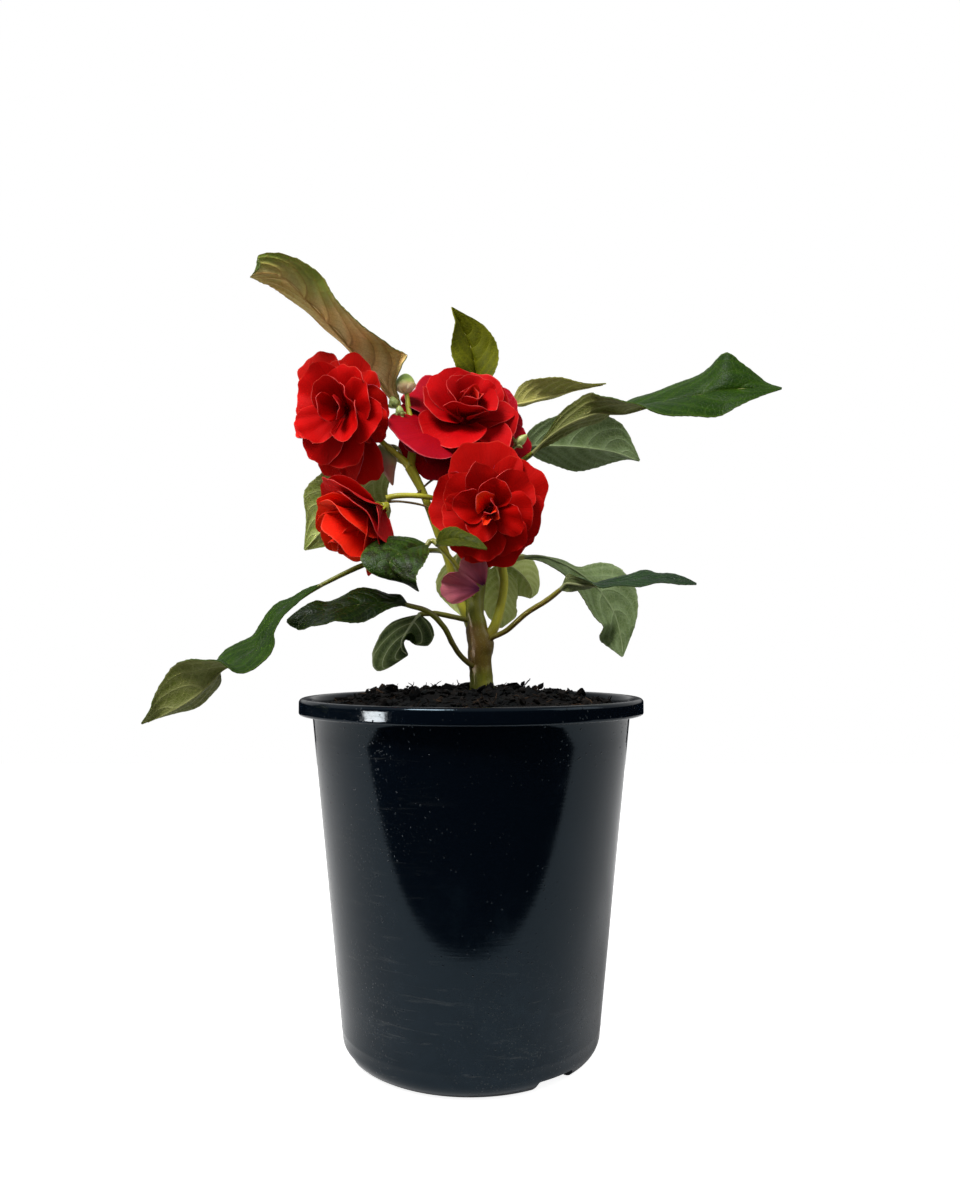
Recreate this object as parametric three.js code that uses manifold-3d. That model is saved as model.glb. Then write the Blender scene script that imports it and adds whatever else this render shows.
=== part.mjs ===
// Busy lizzie with double red flowers, growing in a black plastic nursery pot.
// Millimetres, +Z up. The origin is the centre of the pot's underside and the front faces -Y.

import * as THREE from 'three';
import { mergeVertices } from 'three/addons/utils/BufferGeometryUtils.js';
import Module from 'manifold-3d';

const wasm = await Module();
wasm.setup();

// ---------------------------------------------------------------- driving dimensions

const touchGap = 0.3;          // clearance between pieces that touch
const sliverSize = 0.08;       // detail smaller than this is smoothed off a fitted piece
const facets = 48;             // sides of the pot's rings

const pot = {
  height: 143.7,
  rimRadius: 72.5,
  rimHeight: 6.6,
  rimEdge: 1.6,
  wallTopRadius: 66.9,
  wallFootRadius: 53.5,
  footCorner: 7,
  wallThickness: 1.3,
  floorThickness: 1.8,
};

const drain = {
  azimuths: [-52, -157.5, 128, 22.5],
  width: 20,
  height: 4.6,
  reach: 15,
  housing: 1.5,
};

const soilTop = { edge: 138.5, crown: 145.5, lumps: 1.3 };

const bladeThickness = 0.8;
const bladeStep = 7;           // length of blade or petiole between its cross-sections
const narrowest = 0.5;         // half width of a blade at its base and tip
const petioleRadius = 1.2;
const petalThickness = 0.7;
const petalFoot = 1.2;         // radius at which a whorl's petals start
const hub = { radius: 2.6, height: 1.5 };
const calyxSize = { topRadius: 2.4, footRadius: 1.3, height: 2.4 };

const colours = {
  pot: 0x10161d,
  soil: 0x1c1510,
  stem: 0x5f6a2c,
  youngStem: 0x8b8f2e,
  leaf: 0x2f4d2a,
  darkLeaf: 0x20361f,
  oliveLeaf: 0x5d6a22,
  paleLeaf: 0x6c7f4a,
  bronzeLeaf: 0x70603a,
  red: 0xc01414,
  deepRed: 0x9c0c10,
  faded: 0x7d3a58,
  bud: 0xa9b47a,
};

// Routes of the stems: [x, y, z] points from the root end, and the radius at each end.
const stemRoutes = {
  main_stem: {
    points: [[6, 0, 118], [5, 0, 141], [4, 0, 154], [4, 0, 167], [2, 0, 174], [1, 0, 180], [2, 2, 190],
      [5, 5, 203], [7, 6, 216], [9, 6, 230], [11, 6, 241], [13, 8, 249]],
    radii: [5.2, 5.0, 4.9, 5.6, 4.3, 4.3, 4.0, 3.4, 3.0, 2.8, 2.6, 2.9],
  },
  right_branch: {
    points: [[4, 0, 165], [10, -1, 174], [13, -1, 185], [14, -2, 193], [13, -4, 199], [11, -5, 209],
      [9, -8, 219], [8.1, -12, 223.7]],
    radii: [2.6, 2.2, 1.9, 1.8, 1.7, 1.6, 1.6, 1.6],
  },
  left_branch: {
    points: [[0, 0, 174], [-5, -1, 185], [-8, -3, 195], [-11, -5, 205], [-14, -6, 213], [-20, -8, 229],
      [-26, -10, 241]],
    radii: [2.4, 1.9, 1.7, 1.7, 1.8, 1.7, 2.2],
  },
  flower_1_pedicel: {
    points: [[-26, -10, 241], [-30, -10, 245], [-36, -10, 250], [-43, -9, 257], [-47, -7.5, 262.5],
      [-49.8, -7.3, 264.6]],
    radii: [1.7, 1.5, 1.2, 1.2, 1.2, 1.2],
  },
  flower_2_pedicel: {
    points: [[13, 8, 249], [7, 11, 254], [0, 11, 258], [-5.7, 9.5, 259.9]],
    radii: [1.7, 1.4, 1.4, 1.4],
  },
  flower_4_pedicel: {
    points: [[8, 5, 221], [-5, -1, 225.5], [-13, -8, 227.2], [-20, -12.2, 228], [-28, -13, 228.3],
      [-33, -13, 227.8], [-35.6, -13.2, 226.9]],
    radii: [1.3, 1.1, 1.1, 1.1, 1.1, 1.1, 1.1],
  },
  bud_shoot: {
    points: [[-26, -10, 241], [-25, -8, 249], [-25, -6, 258], [-27, -4, 267], [-28, -3, 275]],
    radii: [2.0, 1.7, 1.4, 1.1, 0.9],
  },
  front_shoot: {
    points: [[1, -1, 186], [-5, -14, 196], [-9, -21, 202], [-13, -27, 206]],
    radii: [1.3, 1.1, 1.1, 1.2],
  },
};

// Leaves: petiole route and blade spine from base to tip. Then, at each inner spine point, the way
// the upper side faces, the angle that both halves are folded up towards it, and the width of the
// half to the right and to the left, looking to the tip with the upper side up. A curled leaf also
// says how far its edges are swept along the spine there.
const leaves = {
  leaf_upper_left: {
    colour: 'bronzeLeaf',
    petiole: [[-25, -7, 256], [-26, -4, 261]],
    spine: [[-30, -1, 264], [-33, -2, 272], [-36, -4, 277], [-39, -6, 280], [-42, -6, 283], [-49, -11, 289],
      [-55, -15, 296], [-61, -19, 302], [-66, -23, 307], [-71, -27, 311], [-77, -31, 315], [-82, -34, 315],
      [-88, -36, 312]],
    faces: [[0.5, 0.8, 0.4], [0.5, 0.6, 0.6], [0.5, 0.5, 0.7], [0.4, 0.5, 0.7], [0.4, 0.5, 0.8],
      [0.6, 0.2, 0.8], [0.6, 0.2, 0.8], [0.5, 0.4, 0.8], [0.1, 0.6, 0.8], [-0.2, 0.7, 0.7],
      [-0.5, 0.8, 0.4]],
    folds: [7, 15, 29, 37, 34, 13, 11, 12, 27, 13, 3],
    right: [2.4, 4.4, 10.9, 16, 15.6, 15.9, 14.9, 12.9, 10.3, 7.2, 3.9],
    left: [2.4, 4.5, 11, 15.6, 13.5, 15.6, 14.8, 12.8, 10.9, 9.1, 6.8],
  },
  leaf_top: {
    colour: 'oliveLeaf',
    petiole: [[13, 8, 250], [15, 20, 254], [13, 30, 264], [9, 33, 275]],
    spine: [[5, 33, 282], [2, 34, 290], [1, 35, 298], [0, 35, 306], [-3, 35, 313], [-6, 34, 318],
      [-8, 32, 322], [-10, 31, 325]],
    faces: [[-0.2, -1, 0.1], [0.1, -1, 0.1], [0.3, -1, 0.1], [0.3, -0.9, 0.1], [0.5, -0.9, 0],
      [0.5, -0.8, 0]],
    folds: [34, 31, 15, 21, 35, 36],
    right: [8.7, 11.4, 12.2, 11.5, 9.2, 4.3],
    left: [8.6, 11.8, 11.4, 9.3, 6.1, 2.9],
  },
  leaf_right_small: {
    colour: 'oliveLeaf',
    petiole: [[13, 8, 249], [18, 15, 253], [18, 23, 260], [15, 26, 270]],
    spine: [[18, 26, 278], [24, 24, 278], [32, 21, 279], [40, 19, 281], [47, 16, 282], [54, 13, 282],
      [60, 9, 282]],
    faces: [[0.1, 0.6, 0.8], [-0.1, 0.4, 0.9], [-0.1, 0.2, 1], [-0.1, 0, 1], [-0.1, -0.1, 1]],
    folds: [36, 27, 18, 9, 3],
    right: [8, 9.3, 9.2, 7.1, 4.1],
    left: [6.4, 9.5, 9.5, 7.3, 4.3],
  },
  leaf_right_long: {
    colour: 'leaf',
    petiole: [[12, 7, 246], [20, 6, 246], [24, 5, 248]],
    spine: [[27, 3, 250], [32, 1, 255], [38, -2, 259], [45, -5, 263], [54, -8, 265], [62, -12, 266],
      [68, -14, 266], [77, -17, 266], [85, -20, 267], [95, -23, 269], [102, -26, 269], [110, -28, 270],
      [117, -30, 269], [124, -32, 268]],
    faces: [[0.2, 0.9, 0.2], [0, 0.8, 0.5], [0, 0.7, 0.7], [-0.1, 0.2, 1], [-0.1, 0, 1], [0, -0.1, 1],
      [-0.2, -0.4, 0.9], [-0.3, -0.5, 0.8], [-0.3, -0.7, 0.7], [-0.3, -0.8, 0.3], [-0.2, -0.8, 0.4],
      [-0.1, -0.7, 0.7]],
    folds: [5, 19, 25, 9, 3, -1, 4, 3, 3, 16, 7, -6],
    right: [2.4, 5.8, 8.1, 10.4, 14.2, 16.2, 18.1, 18.4, 17, 14.7, 11.1, 6.4],
    left: [2.5, 4.8, 8.3, 11.4, 14.4, 16.3, 18, 17.7, 16.8, 14.4, 11.2, 6.6],
  },
  leaf_right_back: {
    colour: 'paleLeaf',
    petiole: [[13, 8, 247], [16, 16, 250], [19, 20, 253]],
    spine: [[22, 22, 257], [28, 22, 257], [37, 23, 258], [47, 24, 257], [58, 24, 256], [66, 24, 255],
      [72, 23, 252], [77, 22, 250]],
    faces: [[-0.1, 0.9, 0.4], [-0.1, 0.9, 0.5], [0, 0.9, 0.5], [0.1, 0.8, 0.6], [0.2, 0.7, 0.7],
      [0.4, 0.6, 0.7]],
    folds: [9, 17, 16, 21, 28, 36],
    right: [7.9, 12.4, 16, 15.7, 12.8, 4.9],
    left: [5.8, 10.8, 13.8, 12.8, 9.4, 4.8],
  },
  leaf_left_back: {
    colour: 'paleLeaf',
    petiole: [[-25, -9, 240], [-28, 2, 245], [-31, 8, 247]],
    spine: [[-34, 13, 249], [-40, 16, 245], [-48, 17, 238], [-56, 18, 231], [-63, 17, 222], [-69, 15, 215],
      [-75, 14, 208]],
    faces: [[-0.3, 0.7, 0.6], [-0.3, 0.9, 0.4], [-0.2, 1, 0.1], [-0.3, 1, 0], [-0.3, 0.9, 0.1]],
    folds: [26, 31, -3, -3, 3],
    right: [8, 14.3, 18.7, 15.2, 8.2],
    left: [8.4, 14.7, 17.5, 17.6, 8.9],
  },
  leaf_front_left: {
    colour: 'darkLeaf',
    petiole: [[-13, -27, 206], [-16, -25, 208]],
    spine: [[-18, -26, 206], [-23, -31, 205], [-27, -37, 202], [-31, -41, 199], [-31, -42, 195],
      [-28, -42, 192], [-24, -40, 189], [-20, -38, 187]],
    faces: [[0.2, -0.5, 0.9], [0.1, -0.5, 0.8], [-0.1, -0.8, 0.6], [-0.2, -1, 0.1], [-0.3, -0.8, -0.6],
      [-0.5, -0.2, -0.9]],
    folds: [4, 1, -4, 7, 24, -4],
    right: [7.6, 11.4, 12.3, 9.4, 5.5, 5.1],
    left: [8.9, 12.6, 12.6, 8.4, 6.8, 4.8],
  },
  leaf_front_right: {
    colour: 'leaf',
    petiole: [[-13, -27, 206], [-13.5, -28.5, 206]],
    spine: [[-14, -30, 206], [-11, -34, 207], [-6, -39, 207], [-1, -43, 206], [3, -45, 204], [6, -46, 202]],
    faces: [[-0.7, -0.5, 0.5], [-0.4, -0.6, 0.7], [-0.2, -0.6, 0.8], [0, -0.7, 0.7]],
    folds: [10, 9, 4, 7],
    right: [4.3, 5.3, 4.2, 2.6],
    left: [4.5, 5.6, 4.2, 2.5],
  },
  leaf_far_left: {
    colour: 'leaf',
    petiole: [[-11, -5, 205], [-15, 4, 207], [-23, 7, 207], [-36, 5, 205], [-50, 1, 199]],
    spine: [[-64, -4, 192], [-69, -6, 188], [-74, -8, 185], [-79, -11, 180], [-83, -14, 174],
      [-85, -16, 168], [-89, -19, 163], [-94, -21, 160], [-97, -22, 158], [-102, -24, 155],
      [-106, -26, 149], [-112, -27, 144], [-118, -28, 140], [-124, -30, 137], [-130, -30, 135]],
    faces: [[-0.4, 0.9, 0], [-0.7, 0.5, 0.5], [-0.4, -0.6, 0.7], [-0.6, -0.5, 0.6], [-0.6, -0.6, 0.5],
      [-0.4, -0.5, 0.7], [-0.3, -0.5, 0.8], [-0.4, -0.4, 0.9], [-0.7, 0.2, 0.7], [-0.7, 0.4, 0.5],
      [-0.5, 0.7, 0.5], [-0.5, 0.7, 0.6], [-0.4, 0.4, 0.8]],
    folds: [-3, 9, 8, 1, 4, 3, 1, 1, 6, 20, 35, 37, 26],
    right: [2.3, 4.2, 6.7, 9.6, 11.9, 13.8, 14.8, 15.1, 15.4, 14.4, 12.4, 9.3, 5.4],
    left: [1.9, 4.2, 5.7, 8.6, 11.9, 13.8, 14.9, 15.4, 15.4, 14.5, 14.2, 10.3, 5.4],
  },
  leaf_left_low: {
    colour: 'darkLeaf',
    petiole: [[3, 0, 156], [-1, -5, 158], [-5, -10, 162], [-8, -16, 167], [-11, -21, 173], [-17, -26, 179]],
    spine: [[-25, -30, 182], [-29, -33, 182], [-34, -36, 182], [-39, -38, 182], [-44, -41, 181],
      [-49, -44, 180], [-54, -46, 179], [-59, -47, 177], [-64, -48, 175], [-69, -48, 175]],
    faces: [[0.5, -0.6, 0.6], [0.3, -0.6, 0.8], [0.2, -0.6, 0.7], [0.1, -0.6, 0.8], [0, -0.5, 0.9],
      [-0.1, -0.5, 0.9], [-0.4, 0.5, 0.8], [-0.3, 0.8, 0.5]],
    folds: [14, 0, -6, -5, -3, -6, 0, -12],
    right: [3.8, 7, 9.6, 10.7, 10.5, 9.8, 7.5, 4],
    left: [3.6, 7, 9.3, 10.2, 10.1, 9.4, 7.6, 4],
  },
  leaf_low_curled: {
    colour: 'darkLeaf',
    petiole: [[2, 0, 176], [-4, -3, 177], [-14, -6, 179], [-17, -8, 179]],
    spine: [[-22, -9, 179], [-23, -10, 177], [-25, -11, 175], [-26, -12, 172], [-28, -13, 170],
      [-29, -14, 167], [-28, -13, 164], [-26, -12, 162]],
    faces: [[-0.1, 0.9, -0.4], [-0.1, 0.9, -0.3], [-0.1, 0.9, -0.3], [-0.1, 1, -0.2], [0.3, 1, 0],
      [0.2, 0.9, 0.4]],
    folds: [3, 5, 10, 10, -28, -34],
    right: [6.2, 10.6, 10.2, 6.8, 4.3, 2.6],
    left: [5.4, 8.1, 8.9, 8.8, 8.9, 8.4],
    rightSweep: [-2, -1, 1, 2, -2, -2],
    leftSweep: [4, 7, 10, 13, 13, 4],
  },
  leaf_right_edge: {
    colour: 'leaf',
    petiole: [[5, 0, 166], [9, -3, 169], [15, -6, 172], [23, -12, 179], [31, -17, 184]],
    spine: [[37, -20, 188], [39, -22, 191], [43, -23, 191], [48, -24, 190], [52, -26, 190], [58, -28, 191],
      [63, -29, 191], [69, -30, 192], [74, -32, 192], [79, -32, 192], [84, -34, 191], [88, -36, 190]],
    faces: [[0.4, 0.9, 0.1], [0.3, 0.6, 0.8], [0.1, 0.2, 1], [-0.1, -0.2, 1], [-0.2, -0.3, 0.9],
      [-0.2, -0.3, 0.9], [-0.2, -0.5, 0.9], [-0.1, -0.4, 0.9], [0, -0.4, 0.9], [0, -0.6, 0.8]],
    folds: [-2, -5, -3, -1, 0, 0, 4, 2, 2, 0],
    right: [3.2, 4.1, 5.9, 7.3, 8.3, 8.4, 7.9, 6.8, 5.2, 2.8],
    left: [3.5, 4.2, 6, 7.2, 8.3, 8.4, 7.9, 6.8, 5.2, 2.8],
  },
  leaf_right_hanging: {
    colour: 'paleLeaf',
    petiole: [[4, 5, 200], [8, 10, 202], [15, 11, 203]],
    spine: [[23, 12, 205], [31, 13, 204], [39, 14, 202], [45, 14, 199], [51, 15, 195], [56, 16, 191],
      [60, 16, 186], [63, 15, 181], [65, 14, 176], [66, 14, 171], [66, 12, 166], [66, 10, 161]],
    faces: [[-0.2, 0.4, -0.9], [-0.4, 0.4, -0.8], [-0.5, 0.4, -0.8], [-0.5, 0.6, -0.6], [-0.5, 0.8, -0.4],
      [-0.2, 1, -0.2], [-0.2, 1, -0.2], [-0.2, 0.9, -0.2], [0.3, 0.9, -0.2], [0, 0.9, -0.3]],
    folds: [1, 2, 4, -4, -14, -28, -28, -30, -3, 10],
    right: [4.2, 8, 11, 13, 13.4, 13.8, 13.5, 11.1, 7.9, 4],
    left: [4.2, 8.1, 10.9, 12.7, 13.6, 13.8, 12.7, 10.7, 9.2, 5.8],
  },
  leaf_back_right: {
    colour: 'paleLeaf',
    petiole: [[5, 5, 205], [7, 13, 207], [10, 18, 207]],
    spine: [[13, 22, 204], [18, 24, 202], [22, 25, 198], [26, 25, 194], [27, 25, 190], [27, 24, 187]],
    faces: [[-0.2, 1, 0.2], [-0.1, 1, 0], [-0.3, 0.9, -0.2], [-0.3, 0.9, -0.2]],
    folds: [21, 31, 27, 27],
    right: [8.2, 10.9, 8.8, 4.4],
    left: [8.6, 11, 8.8, 5.3],
  },
  leaf_back_middle: {
    colour: 'paleLeaf',
    petiole: [[4, 4, 196], [7, 11, 200], [9, 13, 202]],
    spine: [[11, 16, 202], [12, 18, 197], [13, 19, 190], [13, 18, 184], [13, 18, 178], [13, 17, 173]],
    faces: [[0, 1, 0.3], [-0.2, 1, 0], [-0.2, 1, -0.1], [0, 1, -0.1]],
    folds: [-1, 11, 14, -1],
    right: [6.7, 8.9, 7.8, 6.3],
    left: [8.1, 9, 8.5, 5.6],
  },
  leaf_back_left: {
    colour: 'paleLeaf',
    petiole: [[3, 4, 198], [1, 9, 202], [-2, 13, 207]],
    spine: [[-6, 15, 207], [-7, 17, 201], [-8, 18, 196], [-8, 18, 189], [-6, 17, 183], [-4, 14, 178]],
    faces: [[0.2, 1, 0.2], [0.3, 1, 0.1], [0.2, 1, 0], [0, 0.9, -0.3]],
    folds: [14, 16, 15, 33],
    right: [8.4, 9.9, 8.7, 5.4],
    left: [6.2, 9.2, 8.7, 5],
  },
};

// Flowers: where the petals leave the pedicel, the way the flower faces, its turn, its size and
// how far its petals are raised past those of an open one.
const flowers = {
  flower_1: {
    base: [-52, -11, 264],
    facing: [-0.5, -0.84, -0.15],
    turn: 12,
    size: 1.17,
    closing: 8,
  },
  flower_2: {
    base: [-5.5, 6, 263],
    facing: [0.04, -0.74, 0.67],
    turn: 35,
    size: 1.28,
    closing: 0,
  },
  flower_3: {
    base: [8, -16, 224.5],
    facing: [-0.03, -0.97, 0.2],
    turn: 20,
    size: 1.09,
    closing: 0,
  },
  flower_4: {
    base: [-38.5, -15, 224.5],
    facing: [-0.7, -0.42, -0.58],
    turn: 20,
    size: 1.17,
    closing: 34,
  },
};

// Whorls from the outside in: petals round the flower, height of their foot, rise from the
// flower's plane, bend over the length, length, half angle of the fan, cupping and sideways tilt.
const whorls = {
  outer_petals: { count: 5, height: 0, lift: 10, bend: -26, length: 24.5, fan: 76, cup: 0.01, tilt: 0.12 },
  middle_petals: { count: 4, height: 2, lift: 36, bend: -24, length: 20.5, fan: 70, cup: 0.02, tilt: 0.16 },
  inner_petals: { count: 3, height: 4, lift: 60, bend: -6, length: 15, fan: 66, cup: 0.05, tilt: 0.2 },
  heart_petals: { count: 3, height: 6, lift: 84, bend: 12, length: 9.5, fan: 56, cup: 0.12, tilt: 0.3 },
};

// Nectar spurs: thin tubes from the back of a flower.
const spurs = {
  flower_2_spur: [[-5.6, 8.6, 260.3], [-6, 7, 254], [-8, 3, 246], [-12, -2, 240], [-18, -7, 235],
    [-24, -12, 228]],
  flower_4_spur: [[-36, -12.8, 225.6], [-30, -12.6, 225.8], [-22, -11.6, 224.8], [-15, -11, 222.5]],
};
const spurRadius = 0.55;

// Buds and seed pod: centre, radius, how much taller than wide, and the stalk's route from its shoot.
const buds = {
  bud_round: {
    centre: [-28.6, -3, 278.6],
    radius: 4.2,
    stretch: 0.95,
    stalk: [[-27, -4, 268], [-28, -3, 275.5]],
  },
  bud_small_left: {
    centre: [-33.5, -5, 270],
    radius: 2.1,
    stretch: 1.1,
    stalk: [[-26, -5, 262], [-30, -5, 266], [-32.8, -5, 268.6]],
  },
  bud_small_low: {
    centre: [-30.5, -9, 265],
    radius: 1.8,
    stretch: 1.15,
    stalk: [[-25.5, -7, 256], [-28, -9, 260], [-30, -9, 263.6]],
  },
  bud_curled: {
    centre: [21.5, 2, 255],
    radius: 2,
    stretch: 1.4,
    stalk: [[14.5, 7, 249.5], [19, 5, 253], [20.8, 2.6, 254.2]],
  },
  seed_pod: {
    centre: [-36.5, -4, 245],
    radius: 4.6,
    stretch: 1.45,
    stalk: [[-29, -9.5, 244], [-31, -7, 249], [-33.5, -5, 250]],
  },
};
const stalkRadius = 0.8;

// Faded petals caught against the stem below the lowest flower.
const fadedPetals = {
  faded_petal_upper: {
    base: [6, -7.5, 190],
    facing: [-0.35, -0.9, 0.25],
    turn: 122,
    length: 17,
    fan: 50,
  },
  faded_petal_lower: {
    base: [5.2, -8.7, 189],
    facing: [-0.1, -0.96, -0.2],
    turn: 172,
    length: 17,
    fan: 40,
  },
  faded_petal_small: {
    base: [12.3, -6.4, 203.5],
    facing: [0.1, -0.9, -0.4],
    turn: 170,
    length: 8,
    fan: 50,
  },
};

// ---------------------------------------------------------------- solids and meshes

function toSolid(geometry) {
  geometry.deleteAttribute('normal');
  geometry.deleteAttribute('uv');
  const merged = mergeVertices(geometry, 1e-4);
  return new wasm.Manifold(new wasm.Mesh({
    numProp: 3,
    vertProperties: new Float32Array(merged.attributes.position.array),
    triVerts: new Uint32Array(merged.index.array),
  }));
}

function toMesh(name, solid, colour, roughness) {
  const data = solid.getMesh();
  const geometry = new THREE.BufferGeometry();
  geometry.setAttribute('position', new THREE.BufferAttribute(new Float32Array(data.vertProperties), 3));
  geometry.setIndex(new THREE.BufferAttribute(new Uint32Array(data.triVerts), 1));
  geometry.computeVertexNormals();
  const material = new THREE.MeshStandardMaterial({ color: colour, roughness, metalness: 0 });
  const mesh = new THREE.Mesh(geometry, material);
  mesh.name = name;
  return mesh;
}

function vector(point) {
  return new THREE.Vector3(...point);
}

function curveThrough(points) {
  return new THREE.CatmullRomCurve3(points.map(vector), false, 'catmullrom', 0.5);
}

function valueAlong(values, position) {
  const place = THREE.MathUtils.clamp(position, 0, values.length - 1);
  const first = Math.min(Math.floor(place), values.length - 2);
  return THREE.MathUtils.lerp(values[first], values[first + 1], place - first);
}

function vectorAlong(values, position) {
  return vector([0, 1, 2].map((axis) => valueAlong(values.map((value) => value[axis]), position)));
}

function moveVertices(geometry, place) {
  const position = geometry.attributes.position;
  const vertex = new THREE.Vector3();
  for (let index = 0; index < position.count; index += 1) {
    vertex.fromBufferAttribute(position, index);
    const moved = place(vertex);
    position.setXYZ(index, moved.x, moved.y, moved.z);
  }
  return geometry;
}

// A point on the curve, pushed out past the curve's ends by the growth of the piece.
function pointOn(curve, along, grow) {
  const end = Math.round(2 * along - 1);
  const push = Math.abs(2 * along - 1) > 0.999 ? end * grow : 0;
  return curve.getPointAt(along).addScaledVector(curve.getTangentAt(along), push);
}

// A thin sheet: a flat grid moved into place and thickened along its own normals. The grid spans
// -1 to 1 across and -0.5 to 0.5 along.
function sheet(across, along, thickness, place) {
  const grid = moveVertices(new THREE.PlaneGeometry(2, 1, across, along), place);
  grid.computeVertexNormals();
  const { position, normal } = grid.attributes;
  const count = position.count;
  const points = [];
  for (let index = 0; index < 2 * count; index += 1) {
    const depth = index < count ? thickness / 2 : -thickness / 2;
    const point = new THREE.Vector3().fromBufferAttribute(position, index % count);
    point.addScaledVector(new THREE.Vector3().fromBufferAttribute(normal, index % count), depth);
    points.push(...point.toArray());
  }
  const faces = [];
  const edges = [];
  for (let index = 0; index < grid.index.count; index += 3) {
    const [a, b, c] = grid.index.array.slice(index, index + 3);
    faces.push(a, b, c, c + count, b + count, a + count);
    edges.push([a, b], [b, c], [c, a]);
  }
  const shared = new Set(edges.map(([from, to]) => `${to} ${from}`));
  for (const [from, to] of edges) {
    if (!shared.has(`${from} ${to}`)) {
      faces.push(from, from + count, to + count, from, to + count, to);
    }
  }
  const shell = new THREE.BufferGeometry();
  shell.setAttribute('position', new THREE.Float32BufferAttribute(points, 3));
  shell.setIndex(faces);
  return toSolid(shell);
}

// A round stem: a cylinder bent along a curve, thick or thin as its radii say.
function stem(points, radii, grow, sides = 7, stepLength = 6) {
  const curve = curveThrough(points);
  const steps = Math.max(3, Math.round(curve.getLength() / stepLength));
  const frames = curve.computeFrenetFrames(steps);
  const tube = new THREE.CylinderGeometry(1, 1, 1, sides, steps);
  return toSolid(moveVertices(tube, (vertex) => {
    const along = vertex.y + 0.5;
    const step = Math.round(along * steps);
    const radius = valueAlong(radii, curve.getUtoTmapping(along) * (radii.length - 1)) + grow;
    return pointOn(curve, along, grow)
      .addScaledVector(frames.normals[step], vertex.x * radius)
      .addScaledVector(frames.binormals[step], -vertex.z * radius);
  }));
}

// ---------------------------------------------------------------- pot and soil

function radiusAt(height) {
  const wallTop = pot.height - pot.rimHeight;
  const share = (height - pot.footCorner) / (wallTop - pot.footCorner);
  return THREE.MathUtils.lerp(pot.wallFootRadius, pot.wallTopRadius, Math.max(0, share));
}

function lathe(profile, sides = facets) {
  const turned = new THREE.LatheGeometry(profile.map(([r, z]) => new THREE.Vector2(r, z)), sides);
  turned.rotateX(Math.PI / 2);
  return toSolid(turned);
}

function corner(centreRadius, centreHeight, radius, fromAngle, toAngle, steps) {
  const points = [];
  for (let step = 0; step <= steps; step += 1) {
    const angle = THREE.MathUtils.degToRad(THREE.MathUtils.lerp(fromAngle, toAngle, step / steps));
    points.push([centreRadius + radius * Math.cos(angle), centreHeight + radius * Math.sin(angle)]);
  }
  return points;
}

function drainBlock(azimuth, grow) {
  const width = drain.width + 2 * grow;
  const height = drain.height + grow;
  const block = new THREE.BoxGeometry(drain.reach + 2 * grow + 10, width, height);
  moveVertices(block, (vertex) => {
    const narrowing = vertex.z > 0 ? 1.5 : 0;
    return vertex.setY(vertex.y - Math.sign(vertex.y) * narrowing);
  });
  block.translate(pot.wallFootRadius - drain.reach / 2 + 5, 0, height / 2 - 0.01);
  block.rotateZ(THREE.MathUtils.degToRad(azimuth));
  return toSolid(block);
}

function footBody() {
  const flatRadius = pot.wallFootRadius - pot.footCorner;
  return [[0, 0], ...corner(flatRadius, pot.footCorner, pot.footCorner, -90, 0, 3)];
}

function potCavity(clearance) {
  const inset = pot.wallThickness + clearance;
  const floor = pot.floorThickness + clearance;
  const inner = pot.footCorner - 2;
  return lathe([
    [0, floor],
    ...corner(pot.wallFootRadius - inset - inner, floor + inner, inner, -90, 0, 2),
    [radiusAt(pot.height) - inset, pot.height + 1],
    [0, pot.height + 1],
  ]);
}

function potSolid() {
  const wallTop = pot.height - pot.rimHeight;
  const outside = lathe([
    ...footBody(),
    [pot.wallTopRadius, wallTop],
    ...corner(pot.rimRadius - pot.rimEdge, wallTop + pot.rimEdge, pot.rimEdge, -90, 0, 2),
    ...corner(pot.rimRadius - pot.rimEdge, pot.height - pot.rimEdge, pot.rimEdge, 0, 90, 2),
    [0, pot.height],
  ]);
  let cavity = potCavity(0);
  let slots = null;
  for (const azimuth of drain.azimuths) {
    cavity = cavity.subtract(drainBlock(azimuth, drain.housing));
    const slot = drainBlock(azimuth, 0);
    slots = slots ? slots.add(slot) : slot;
  }
  return outside.subtract(cavity).subtract(slots);
}

function soilHeight(x, y) {
  const share = Math.min(1, Math.hypot(x, y) / (pot.wallTopRadius - 2));
  const dome = THREE.MathUtils.lerp(soilTop.crown, soilTop.edge, share ** 3);
  const lumps = Math.sin(0.31 * x + 1.1) * Math.cos(0.27 * y) + Math.sin(0.17 * x - 0.23 * y + 2);
  return dome + soilTop.lumps * lumps * (1 - share ** 4);
}

function soilSolid() {
  const rings = 5;
  const top = [];
  for (let ring = 0; ring <= rings; ring += 1) {
    top.push([80 * (1 - ring / rings), 0]);
  }
  const lid = lathe([[0, -150], [80, -150], ...top], 28);
  const raised = lid.warp((vertex) => {
    if (vertex[2] > -1) {
      vertex[2] = soilHeight(vertex[0], vertex[1]);
    }
  });
  let soil = potCavity(touchGap).intersect(raised);
  for (const azimuth of drain.azimuths) {
    soil = soil.subtract(drainBlock(azimuth, drain.housing + touchGap));
  }
  return soil;
}

// ---------------------------------------------------------------- leaves

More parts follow.
